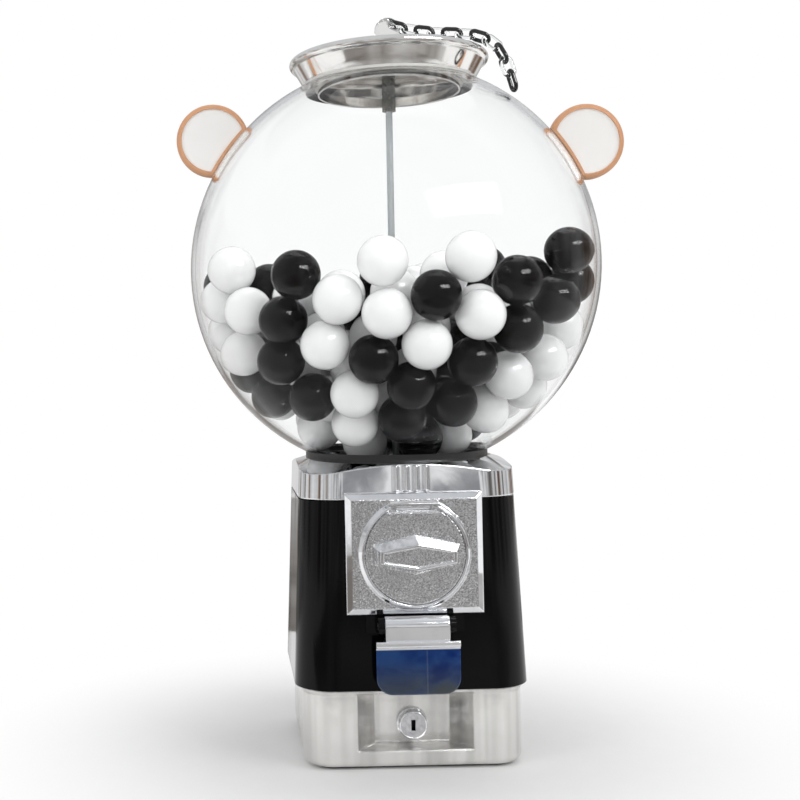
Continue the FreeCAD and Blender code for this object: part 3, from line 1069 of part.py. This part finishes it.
os.makedirs("parts", exist_ok=True)
make_base()
make_lock()
make_body()
make_collar()
make_globe()
make_lid()
make_knob_and_chain()
make_ears()
make_hopper()
make_coin_plate()
make_handle()
make_coin_guide()
make_chute()
make_door()
make_balls()
print("globe middle", round(GLOBE_MIDDLE, 2), "shaft height", round(SHAFT_Z, 2), "top", round(KNOB_TOP, 2))
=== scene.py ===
import bpy
import math
from mathutils import Matrix, Vector


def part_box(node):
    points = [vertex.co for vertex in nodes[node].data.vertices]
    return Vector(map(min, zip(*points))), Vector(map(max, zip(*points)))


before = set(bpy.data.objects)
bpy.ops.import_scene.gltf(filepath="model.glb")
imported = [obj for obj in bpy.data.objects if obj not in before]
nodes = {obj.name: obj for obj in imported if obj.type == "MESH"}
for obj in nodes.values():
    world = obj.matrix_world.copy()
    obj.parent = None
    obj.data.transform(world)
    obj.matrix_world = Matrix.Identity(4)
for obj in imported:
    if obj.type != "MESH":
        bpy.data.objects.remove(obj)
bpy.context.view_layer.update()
scene = bpy.context.scene

# Places on the part, in metres
PLATE_FIELD_DEPTH = 0.003      # the coin plate's grainy field, behind its front
DIAL_FIELD_DEPTH = 0.0185      # the dial's field, behind the front of the grip
GRIP_FIELD_DEPTH = 0.0012      # the grip's field, behind its front
FIELD_REACH = 0.0003           # a surface this near to a field's plane lies in it
FLAP_LIP_HEIGHT = 0.0365       # the film's upper edge, above the flap's lower end
HAZE_FULL, HAZE_NONE = 0.036, 0.004            # where the film's haze is full and gone, under its upper edge
FILM_LINE_X, FILM_LINE_HALF = 0.007, 0.0005
KEYWAY_HALF_WIDTH, KEYWAY_HALF_HEIGHT = 0.0022, 0.0049
GLOBE_MIDDLE = Vector((0, 0, 0.38))

# Surfaces
WHITE = (1.0, 1.0, 1.0)
CHROME = (0.86, 0.87, 0.89)
SMUDGE_SHADE = 0.86            # share of the chrome's colour that is left under a smudge
EDGE_RADIUS, FINE_EDGE_RADIUS, EDGE_SAMPLES = 0.0016, 0.0005, 6
FRONT_FACING = -0.9            # a face whose normal's Y is less than this looks to the front
GRAIN_SCALE, GRAIN_LEAN, GRAIN_ROUGH = 1350.0, 0.42, 0.16
GRAIN_SHADE = (0.44, 0.44, 0.445)
UPWARD_ROUGH = 0.34            # dulling of the plate's and handle's faces that look up
MARK_SCALE = 2.6               # how much finer a moulding's handling marks are than its mottling
FILM_DEEP, FILM_PALE = (0.008, 0.035, 0.21), (0.035, 0.11, 0.36)
FILM_HAZE, FILM_LINE = (0.115, 0.135, 0.155), (0.55, 0.60, 0.70)
HAZE_LEAST, LINE_SHARE, FILM_ROUGH = 0.06, 0.12, 0.10
# painted shade: the near-black colour of the keyway's hole, where shade falls
KEYWAY_PAINTED_SHADE = (0.008, 0.008, 0.009)

# Surroundings
FLOOR_REACH = 30.0
FLOOR_FADE = (0.12, 0.42)      # distances from the middle between which the floor turns into the backdrop
ROOM_RADIUS, ROOM_RINGS, ROOM_STEPS = 2.6, 16, 48
ROOM_DIM, ROOM_PALE, ROOM_CEILING = (0.27, 0.275, 0.285), (0.84, 0.84, 0.83), (0.62, 0.63, 0.65)
ROOM_FRONT = (0.12, -1, 0.10)  # heading of the part of the wall that has no streaks
STREAKS = (
    (0.28, (0.04, 0.04, 0.045)),
    (0.40, (0.19, 0.12, 0.075)),
    (0.48, (0.55, 0.55, 0.56)),
    (0.55, (0.75, 0.75, 0.75)),
    (0.63, (0.22, 0.21, 0.20)),
    (0.74, (0.06, 0.055, 0.05)),
)
CARD_HEIGHT = 0.002
FLOOR_CARDS = {
    "card_floor": ((-1.6, -2.4), (1.6, -2.4), (1.0, -0.33), (-1.0, -0.33)),
    "card_back": ((-1.6, 0.5), (0.6, 0.5), (0.6, 2.4), (-1.6, 2.4)),
}
WINDOW_PLACE, WINDOW_WIDTH, WINDOW_HEIGHT, WINDOW_STRENGTH = (1.05, -1.50, 1.45), 1.40, 0.55, 20.0
# Name, place, height aimed at, width, height and watts of each lamp
LAMPS = (
    ("window_right", (1.75, -1.35, 1.75), 0.40, 1.5, 0.8, 17.0),
    ("soft_left", (-1.9, -1.5, 1.3), 0.30, 1.0, 1.4, 10.0),
    ("soft_front", (-0.3, -2.4, 1.2), 0.40, 2.2, 1.4, 12.0),
    ("soft_top", (0.2, 0.5, 2.4), 0.30, 2.0, 2.0, 16.0),
)
WORLD_FILL = 0.55              # strength of the backdrop as a light

# Camera at the photograph's viewing angle, for a square picture
CAMERA_PLACE = (-0.1510, -1.1550, 0.3290)
CAMERA_YAW, CAMERA_PITCH, CAMERA_ROLL = -0.0015, -0.0103, -0.0218
CAMERA_SENSOR, CAMERA_LENS = 36.0, 58.04
CAMERA_SHIFT_X, CAMERA_SHIFT_Y = 0.22, -0.0125


# Node helpers; what they give back is the output of the last node
def put(tree, kind, inputs=None, **settings):
    """Adds a shader node; an input is a plain value or another node's output."""
    node = tree.nodes.new("ShaderNode" + kind)
    for key, value in settings.items():
        setattr(node, key, value)
    for key, value in (inputs or {}).items():
        socket = node.inputs[key]
        if isinstance(value, bpy.types.NodeSocket):
            tree.links.new(value, socket)
        else:
            socket.default_value = (*value, 1.0) if socket.type == "RGBA" else value
    return node


def stretched(tree, spot, stretch):
    return put(tree, "Mapping", {"Vector": spot, "Scale": stretch}).outputs["Vector"]


def place(tree, stretch=(1, 1, 1)):
    """The surface's place in the part's frame at rest, in metres, stretched along each axis."""
    return stretched(tree, put(tree, "TexCoord").outputs["Object"], stretch)


def axes(tree, vector):
    """The outputs X, Y and Z of a vector."""
    return put(tree, "SeparateXYZ", {"Vector": vector}).outputs


def noise(tree, spot, scale, detail=3.0, rough=0.5, distortion=0.0):
    inputs = {"Vector": spot, "Scale": scale, "Detail": detail, "Roughness": rough, "Distortion": distortion}
    return put(tree, "TexNoise", inputs).outputs["Fac"]


def between(tree, value, source, target=(0.0, 1.0)):
    """Maps a range of values to another, with a soft start and end."""
    inputs = {"Value": value, "From Min": source[0], "From Max": source[1],
              "To Min": target[0], "To Max": target[1]}
    return put(tree, "MapRange", inputs, interpolation_type="SMOOTHSTEP").outputs["Result"]


def calc(tree, operation, a, b=0.0):
    return put(tree, "Math", {0: a, 1: b}, operation=operation).outputs[0]


def average(tree, a, b):
    return calc(tree, "MULTIPLY", calc(tree, "ADD", a, b), 0.5)


def near(tree, value, middle, reach):
    """1 where a value is less than reach away from middle, else 0."""
    away = calc(tree, "ABSOLUTE", calc(tree, "SUBTRACT", value, middle))
    return calc(tree, "LESS_THAN", away, reach)


def vectors(tree, operation, inputs, result="Vector"):
    return put(tree, "VectorMath", inputs, operation=operation).outputs[result]


def colours(tree, factor, a, b):
    """A colour between two."""
    return put(tree, "Mix", {0: factor, 6: a, 7: b}, data_type="RGBA").outputs[2]


def soft_edge(tree, radius):
    return put(tree, "Bevel", {"Radius": radius}, samples=EDGE_SAMPLES).outputs["Normal"]


def bump(tree, height, strength, distance, normal=None):
    inputs = {"Height": height, "Strength": strength, "Distance": distance}
    if normal:
        inputs["Normal"] = normal
    return put(tree, "Bump", inputs).outputs["Normal"]


def shader(tree, inputs):
    return put(tree, "BsdfPrincipled", inputs).outputs["BSDF"]


def emission(tree, colour, strength=1.0):
    return put(tree, "Emission", {"Color": colour, "Strength": strength}).outputs["Emission"]


def mix_shaders(tree, factor, first, second):
    return put(tree, "MixShader", {0: factor, 1: first, 2: second}).outputs["Shader"]


def seen(tree):
    """1 for rays from the camera, a mirroring surface or glass, else 0."""
    rays = put(tree, "LightPath").outputs
    direct = calc(tree, "MAXIMUM", rays["Is Camera Ray"], rays["Is Glossy Ray"])
    return calc(tree, "MAXIMUM", direct, rays["Is Transmission Ray"])


def start(name):
    material = bpy.data.materials.new(name)
    material.use_nodes = True
    material.node_tree.nodes.clear()
    return material, material.node_tree


def end(material, surface):
    put(material.node_tree, "OutputMaterial", {"Surface": surface})
    return material


# Materials
def grained(tree, spot, field, normal, rough, colour):
    """Adds a sandy grain to front faces on the planes in field, and dulls faces that look up."""
    depth = axes(tree, spot)["Y"]
    facing = axes(tree, put(tree, "NewGeometry").outputs["Normal"])
    mask = 0.0
    for plane in field:
        mask = calc(tree, "MAXIMUM", mask, near(tree, depth, plane, FIELD_REACH))
    mask = calc(tree, "MULTIPLY", mask, calc(tree, "LESS_THAN", facing["Y"], FRONT_FACING))
    cells = {"Vector": spot, "Scale": GRAIN_SCALE, "Randomness": 1.0}
    tone = put(tree, "TexVoronoi", cells, feature="F1").outputs["Color"]
    lean = vectors(tree, "SUBTRACT", {0: tone, 1: (0.5, 0.5, 0.5)})
    lean = vectors(tree, "SCALE", {0: lean, "Scale": calc(tree, "MULTIPLY", mask, GRAIN_LEAN)})
    normal = vectors(tree, "NORMALIZE", {0: vectors(tree, "ADD", {0: normal, 1: lean})})
    rough = calc(tree, "ADD", rough, calc(tree, "MULTIPLY", mask, GRAIN_ROUGH))
    rough = calc(tree, "ADD", rough, between(tree, facing["Z"], (0.60, 0.90), (0.0, UPWARD_ROUGH)))
    speck = between(tree, put(tree, "SeparateColor", {"Color": tone}).outputs["Red"], (0.0, 1.0))
    colour = colours(tree, calc(tree, "MULTIPLY", mask, speck), colour, GRAIN_SHADE)
    return normal, rough, colour


def chrome(name, field=(), tint=CHROME, haze=0.0):
    """Polished plating with soft edges, a slow waviness and smudges; planes listed in field are grainy."""
    material, tree = start(name)
    spot = place(tree)
    smudge = noise(tree, spot, 38.0, detail=5.0, rough=0.62, distortion=0.6)
    rough = between(tree, smudge, (0.45, 0.75), (0.025 + haze, 0.11 + haze))
    wave = noise(tree, spot, 22.0, detail=1.5)
    normal = bump(tree, wave, 0.10, 0.002, soft_edge(tree, EDGE_RADIUS))
    smudged = tuple(SMUDGE_SHADE * c for c in tint)
    colour = colours(tree, between(tree, smudge, (0.4, 0.8)), tint, smudged)
    if field:
        normal, rough, colour = grained(tree, spot, field, normal, rough, colour)
    return end(material, shader(tree, {
        "Base Color": colour, "Metallic": 1.0, "Roughness": rough, "Normal": normal}))


def enamel(name):
    """Black baked enamel: deep gloss, a faint orange peel and a few dull wipes."""
    material, tree = start(name)
    wipe = noise(tree, place(tree, (1, 1, 0.25)), 16.0, detail=4.0, rough=0.55, distortion=0.8)
    peel = noise(tree, place(tree), 420.0, detail=2.0)
    wiped = between(tree, wipe, (0.3, 0.8))
    return end(material, shader(tree, {
        "Base Color": colours(tree, wiped, (0.0015, 0.0015, 0.002), (0.003, 0.003, 0.0035)),
        "Roughness": between(tree, wipe, (0.45, 0.8), (0.10, 0.26)),
        "Specular IOR Level": 0.13, "Coat Weight": 0.05, "Coat Roughness": 0.08,
        "Normal": bump(tree, peel, 0.04, 0.0005)}))


def satin_metal(name, light, dark, rough, grain, metallic=1.0, edge=FINE_EDGE_RADIUS):
    """Cast or drawn metal with soft bands and a fine grain, both long where grain is small; the bands are
    the metal's tone, and on the cast base also painted reflection streaks.
    """
    material, tree = start(name)
    drawn = place(tree, grain)
    bands = noise(tree, drawn, 14.0, distortion=0.4)
    stripes = noise(tree, drawn, 80.0, detail=2.0, distortion=0.2)
    lines = noise(tree, drawn, 700.0, rough=0.6)
    spots = noise(tree, place(tree), 90.0, detail=4.0, rough=0.6)
    # Soft bands in the colour: the metal's own tone, and on the cast base also painted reflection streaks
    tone_and_painted_streaks = between(tree, average(tree, bands, stripes), (0.38, 0.62))
    return end(material, shader(tree, {
        "Base Color": colours(tree, tone_and_painted_streaks, light, dark), "Metallic": metallic,
        "Roughness": between(tree, spots, (0.3, 0.75), rough),
        "Normal": bump(tree, lines, 0.10, 0.0003, soft_edge(tree, edge))}))


def plastic(name, light, dark, rough, scale, coat=0.0, peel=0.03, gloss=0.5):
    """Moulded plastic or gum: a slight mottling that differs from solid to solid, marks and a fine skin."""
    material, tree = start(name)
    spot = place(tree)
    mottle = noise(tree, spot, scale, detail=4.0, rough=0.6, distortion=0.3)
    each = put(tree, "NewGeometry").outputs["Random Per Island"]
    marks = noise(tree, spot, scale * MARK_SCALE)
    skin = noise(tree, spot, 900.0, detail=2.0)
    return end(material, shader(tree, {
        "Base Color": colours(tree, average(tree, mottle, each), light, dark),
        "Roughness": between(tree, marks, (0.35, 0.75), rough),
        "Specular IOR Level": gloss, "Coat Weight": coat, "Coat Roughness": 0.05,
        "Normal": bump(tree, skin, peel, 0.0004)}))


def clear(name, colour, rough, wave, index):
    """Clear glass or acrylic with faint smears, which lets light through to what is behind it."""
    material, tree = start(name)
    spot = place(tree)
    smear = noise(tree, spot, 30.0, detail=5.0, rough=0.65)
    glass = shader(tree, {
        "Base Color": colour, "Transmission Weight": 1.0, "IOR": index,
        "Roughness": between(tree, smear, (0.5, 0.85), (0.0, rough)),
        "Normal": bump(tree, noise(tree, spot, 9.0, detail=1.0), wave, 0.002)})
    through = put(tree, "BsdfTransparent", {"Color": colour}).outputs["BSDF"]
    shadow = put(tree, "LightPath").outputs["Is Shadow Ray"]
    return end(material, mix_shaders(tree, shadow, glass, through))


def door_film(name, lip):
    """Chute door: plated barrel and lip, and a flap under a cloudy blue film with a faint line."""
    material, tree = start(name)
    spot = place(tree)
    at = axes(tree, spot)
    film = calc(tree, "LESS_THAN", at["Z"], lip)
    cloud = noise(tree, place(tree, (1, 1, 1.6)), 30.0, detail=4.0, distortion=0.5)
    blue = colours(tree, between(tree, cloud, (0.38, 0.62)), FILM_DEEP, FILM_PALE)
    low = between(tree, at["Z"], (lip - HAZE_FULL, lip - HAZE_NONE), (1.0, 0.0))
    patchy = between(tree, cloud, (0.35, 0.70), (0.50, 1.0))
    haze = calc(tree, "MULTIPLY", patchy, calc(tree, "ADD", low, HAZE_LEAST))
    hazy = colours(tree, haze, blue, FILM_HAZE)
    line = near(tree, at["X"], FILM_LINE_X, FILM_LINE_HALF)
    lined = colours(tree, calc(tree, "MULTIPLY", line, LINE_SHARE), hazy, FILM_LINE)
    smudge = noise(tree, spot, 45.0, detail=5.0, rough=0.62, distortion=0.6)
    rough = between(tree, smudge, (0.4, 0.75), (0.03, 0.16))
    wave = noise(tree, spot, 26.0, detail=2.0)
    return end(material, shader(tree, {
        "Base Color": colours(tree, film, CHROME, lined), "Metallic": 1.0,
        "Roughness": calc(tree, "ADD", rough, calc(tree, "MULTIPLY", film, FILM_ROUGH)),
        "Normal": bump(tree, wave, 0.12, 0.002, soft_edge(tree, EDGE_RADIUS))}))


def lock_face(name, front, middle):
    """Satin plug of the lock; the keyway's hole is coloured dark as painted shade."""
    material, tree = start(name)
    spot = place(tree)
    at = axes(tree, spot)
    # Painted shade: faces deep in the keyway's hole get a near-black colour
    keyway_shade_mask = calc(tree, "GREATER_THAN", at["Y"], front + FIELD_REACH)
    keyway_shade_mask = calc(tree, "MULTIPLY", keyway_shade_mask, near(tree, at["X"], 0.0, KEYWAY_HALF_WIDTH))
    keyway_shade_mask = calc(tree, "MULTIPLY", keyway_shade_mask, near(tree, at["Z"], middle, KEYWAY_HALF_HEIGHT))
    wear = noise(tree, spot, 240.0, detail=4.0, rough=0.6, distortion=0.4)
    worn = colours(tree, between(tree, wear, (0.35, 0.7)), (0.62, 0.62, 0.64), (0.50, 0.50, 0.52))
    return end(material, shader(tree, {
        "Base Color": colours(tree, keyway_shade_mask, worn, KEYWAY_PAINTED_SHADE), "Metallic": 1.0,
        "Roughness": between(tree, wear, (0.3, 0.75), (0.14, 0.30)),
        "Normal": bump(tree, wear, 0.12, 0.0004)}))


# The look of each material slot
looks = {
    # The cast base's upright colour bands are partly painted reflection streaks, partly the metal's tone
    "base_metal": satin_metal(
        "cast_aluminium", (0.80, 0.79, 0.77), (0.58, 0.572, 0.558), rough=(0.15, 0.27),
        grain=(1, 1, 0.03), metallic=0.8, edge=0.0035),
    "black_enamel": enamel("black_enamel_coat"),
    "chrome": chrome("chrome_plate"),
    "plain_steel": satin_metal(
        "drawn_steel", (0.62, 0.63, 0.65), (0.48, 0.49, 0.51), rough=(0.22, 0.38), grain=(1, 0.1, 1)),
    "bearing_brass": satin_metal(
        "turned_brass", (0.72, 0.55, 0.25), (0.58, 0.42, 0.18), rough=(0.22, 0.36), grain=(1, 0.1, 1)),
    "clear_globe": clear("clear_globe_wall", (0.985, 0.99, 0.99), rough=0.04, wave=0.05, index=1.14),
    "clear_plastic": clear("clear_acrylic", (0.90, 0.915, 0.92), rough=0.08, wave=0.10, index=1.49),
    "black_plastic": plastic(
        "black_moulding", (0.008, 0.008, 0.009), (0.016, 0.016, 0.018), rough=(0.10, 0.28),
        scale=120.0, coat=0.3),
    "black_rubber": plastic(
        "black_rubber_skin", (0.010, 0.010, 0.010), (0.022, 0.022, 0.022), rough=(0.30, 0.50), scale=200.0),
    "white_satin": plastic(
        "white_satin_face", (0.90, 0.89, 0.875), (0.84, 0.825, 0.80), rough=(0.38, 0.52), scale=45.0),
    "tan_satin": plastic(
        "tan_satin_rim", (0.68, 0.36, 0.20), (0.58, 0.29, 0.155), rough=(0.34, 0.50), scale=70.0),
    "black_gum": plastic(
        "black_gloss_ball", (0.0015, 0.0015, 0.002), (0.0035, 0.003, 0.003), rough=(0.03, 0.07),
        scale=50.0, peel=0.02, gloss=0.22),
    "white_gum": plastic(
        "white_gloss_ball", (0.82, 0.82, 0.815), (0.76, 0.76, 0.765), rough=(0.05, 0.12),
        scale=50.0, coat=0.3, peel=0.02),
}
for node in nodes.values():
    slot = node.material_slots[0].material.name.split(".")[0]
    node.data.materials[0] = looks[slot]

# Pieces with a look of their own
plate_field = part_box("coin_plate")[0].y + PLATE_FIELD_DEPTH
dial_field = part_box("turn_handle")[0].y + DIAL_FIELD_DEPTH
grip_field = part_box("turn_handle")[0].y + GRIP_FIELD_DEPTH
flap_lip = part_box("chute_door")[0].z + FLAP_LIP_HEIGHT
plug_low, plug_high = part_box("lock_plug")
own_looks = {
    "coin_plate": chrome("chrome_grain_plate", [plate_field]),
    "turn_handle": chrome("chrome_grain_handle", [dial_field, grip_field]),
    "lock_plug": lock_face("lock_plug_face", plug_low.y, (plug_low.z + plug_high.z) / 2),
    "lid": chrome("chrome_lid", tint=(0.90, 0.89, 0.87), haze=0.07),
    # The knob's grey tint is painted shade: it stands in for the darker surroundings seen through the clear
    # knob
    "knob": clear("clear_knob_painted_shade", (0.76, 0.765, 0.755), rough=0.06, wave=0.16, index=1.49),
    "center_rod": satin_metal(
        "drawn_rod", (0.60, 0.63, 0.64), (0.42, 0.45, 0.46), rough=(0.12, 0.24),
        grain=(1, 1, 0.1), metallic=0.55),
    "lid_sleeve": satin_metal(
        "dull_sleeve", (0.24, 0.235, 0.21), (0.15, 0.145, 0.13), rough=(0.20, 0.34),
        grain=(1, 1, 0.1), metallic=0.6),
    "lid_gasket": plastic(
        "milky_seal", (0.74, 0.73, 0.70), (0.66, 0.65, 0.62), rough=(0.18, 0.32), scale=90.0),
    "chute_door": door_film("chrome_blue_film", flap_lip),
}
for name, look in own_looks.items():
    nodes[name].data.materials[0] = look


# Floor, and the room and cards that the metal reflects
def stage_mesh(name, points, faces, material):
    mesh = bpy.data.meshes.new(name)
    mesh.from_pydata(points, [], faces)
    mesh.materials.append(material)
    thing = bpy.data.objects.new(name, mesh)
    scene.collection.objects.link(thing)
    return thing


def sheet(name, corners, material):
    return stage_mesh(name, corners, [(0, 1, 2, 3)], material)


def reflected_only(thing):
    thing.visible_camera = False
    thing.visible_diffuse = False
    thing.visible_shadow = False
    thing.visible_volume_scatter = False


def level(corners, height):
    return [(x, y, height) for x, y in corners]


def facing_corners(at, width, height):
    """Corners of a card that faces the globe."""
    middle = Vector(at)
    aim = (GLOBE_MIDDLE - middle).normalized()
    across = aim.cross(Vector((0, 0, 1))).normalized() * (width / 2)
    up = across.cross(aim).normalized() * (height / 2)
    return [middle - across - up, middle + across - up, middle + across + up, middle - across + up]


def dome(radius, rings, steps):
    """Points and faces of a round wall and ceiling about the object."""
    points = []
    for ring in range(rings + 1):
        rise = ring / rings * math.pi / 2
        flat, height = radius * math.cos(rise), radius * math.sin(rise)
        for step in range(steps):
            turn = math.tau * step / steps
            points.append((flat * math.cos(turn), flat * math.sin(turn), height))
    faces = []
    for low in range(0, rings * steps, steps):
        high = low + steps
        for step in range(steps):
            after = (step + 1) % steps
            faces.append((low + step, low + after, high + after, high + step))
    return points, faces


def floor_material():
    """A pale matte floor about the object that goes over into the white backdrop."""
    material, tree = start("pale_floor")
    spot = place(tree)
    colour = colours(tree, noise(tree, spot, 40.0, detail=4.0), (0.88, 0.88, 0.88), (0.91, 0.91, 0.91))
    matte = put(tree, "BsdfDiffuse", {"Color": colour}).outputs["BSDF"]
    far = between(tree, vectors(tree, "LENGTH", {0: spot}, "Value"), FLOOR_FADE)
    white_share = calc(tree, "MULTIPLY", far, seen(tree))
    return end(material, mix_shaders(tree, white_share, matte, emission(tree, WHITE)))


def mirrored(tree, colour, strength=1.0):
    """A glow for rays that some surface has mirrored; other rays pass straight through."""
    unseen = put(tree, "BsdfTransparent").outputs["BSDF"]
    bounced = calc(tree, "GREATER_THAN", put(tree, "LightPath").outputs["Glossy Depth"], 0.5)
    return mix_shaders(tree, bounced, unseen, emission(tree, colour, strength))


def card_material(name, low, high, scale, stretch, strength=1.0):
    """A cloudy card."""
    material, tree = start(name)
    cloud = noise(tree, place(tree, stretch), scale, detail=4.0, rough=0.55, distortion=0.6)
    colour = colours(tree, between(tree, cloud, (0.35, 0.68)), low, high)
    return end(material, mirrored(tree, colour, strength))


def aimed(tree, heading, target, inner, outer):
    """1 near a compass heading, falling to 0 between two angles from it."""
    close = vectors(tree, "DOT_PRODUCT", {0: heading, 1: Vector(target).normalized()}, "Value")
    return between(tree, close, (math.cos(outer), math.cos(inner)))


def room_material():
    """A dim cloudy room with a bright ceiling and, but for the front, broad upright streaks."""
    material, tree = start("room_walls")
    heading = vectors(tree, "NORMALIZE", {0: place(tree)})
    height = axes(tree, heading)["Z"]
    cloud = noise(tree, stretched(tree, heading, (-1, 1, 1)), 9.0, detail=5.0, rough=0.6, distortion=0.6)
    plain = colours(tree, between(tree, cloud, (0.42, 0.60)), ROOM_DIM, ROOM_PALE)
    streak = noise(tree, stretched(tree, heading, (1, 1, 0.05)), 3.4, detail=2.0)
    upright = put(tree, "ValToRGB", {"Fac": streak})
    stops = upright.color_ramp.elements
    for spot, colour in STREAKS:
        stops.new(spot).color = (*colour, 1.0)
    stops.remove(stops[0])
    stops.remove(stops[-1])
    low = between(tree, height, (0.25, 0.50), (1.0, 0.0))
    front = aimed(tree, heading, ROOM_FRONT, 0.30, 0.55)
    sides = calc(tree, "MULTIPLY", low, calc(tree, "SUBTRACT", 1.0, front))
    walls = colours(tree, sides, plain, upright.outputs["Color"])
    ceiling = between(tree, height, (0.36, 0.66))
    return end(material, mirrored(tree, colours(tree, ceiling, walls, ROOM_CEILING)))


floor_corners = [(x * FLOOR_REACH, y * FLOOR_REACH) for x, y in ((-1, -1), (1, -1), (1, 1), (-1, 1))]
sheet("floor", level(floor_corners, 0), floor_material())
reflected_only(stage_mesh("room", *dome(ROOM_RADIUS, ROOM_RINGS, ROOM_STEPS), room_material()))
dark = card_material("card_dark", (0.19, 0.17, 0.155), (0.56, 0.55, 0.54), scale=1.6, stretch=(1, 0.6, 1))
for name, corners in FLOOR_CARDS.items():
    reflected_only(sheet(name, level(corners, CARD_HEIGHT), dark))
panes = card_material(
    "card_window", (0.45, 0.45, 0.46), WHITE, scale=3.4, stretch=(1, 1, 0.5), strength=WINDOW_STRENGTH)
reflected_only(sheet("card_window", facing_corners(WINDOW_PLACE, WINDOW_WIDTH, WINDOW_HEIGHT), panes))

# Light
for name, at, aim_height, width, height, watts in LAMPS:
    data = bpy.data.lights.new(name, "AREA")
    data.shape = "RECTANGLE"
    data.size, data.size_y, data.energy = width, height, watts
    lamp = bpy.data.objects.new(name, data)
    scene.collection.objects.link(lamp)
    lamp.location = at
    lamp.rotation_euler = (Vector((0, 0, aim_height)) - Vector(at)).to_track_quat("-Z", "Y").to_euler()
    lamp.visible_camera = False
    lamp.visible_glossy = False

world = bpy.data.worlds.new("studio")
scene.world = world
world.use_nodes = True
sky = world.node_tree
sky.nodes.clear()
strength = between(sky, seen(sky), (0.0, 1.0), (WORLD_FILL, 1.0))
backdrop = put(sky, "Background", {"Color": WHITE, "Strength": strength}).outputs["Background"]
put(sky, "OutputWorld", {"Surface": backdrop})

# Camera
camera = bpy.data.objects.new("camera", bpy.data.cameras.new("camera"))
scene.collection.objects.link(camera)
scene.camera = camera
camera.data.sensor_width = CAMERA_SENSOR
camera.data.lens = CAMERA_LENS
camera.data.shift_x = CAMERA_SHIFT_X
camera.data.shift_y = CAMERA_SHIFT_Y
turn = Matrix.Rotation(-CAMERA_YAW, 4, "Z") @ Matrix.Rotation(math.pi / 2 + CAMERA_PITCH, 4, "X")
turn = turn @ Matrix.Rotation(CAMERA_ROLL, 4, "Z")
camera.matrix_world = Matrix.Translation(CAMERA_PLACE) @ turn

scene.view_settings.view_transform = "Standard"
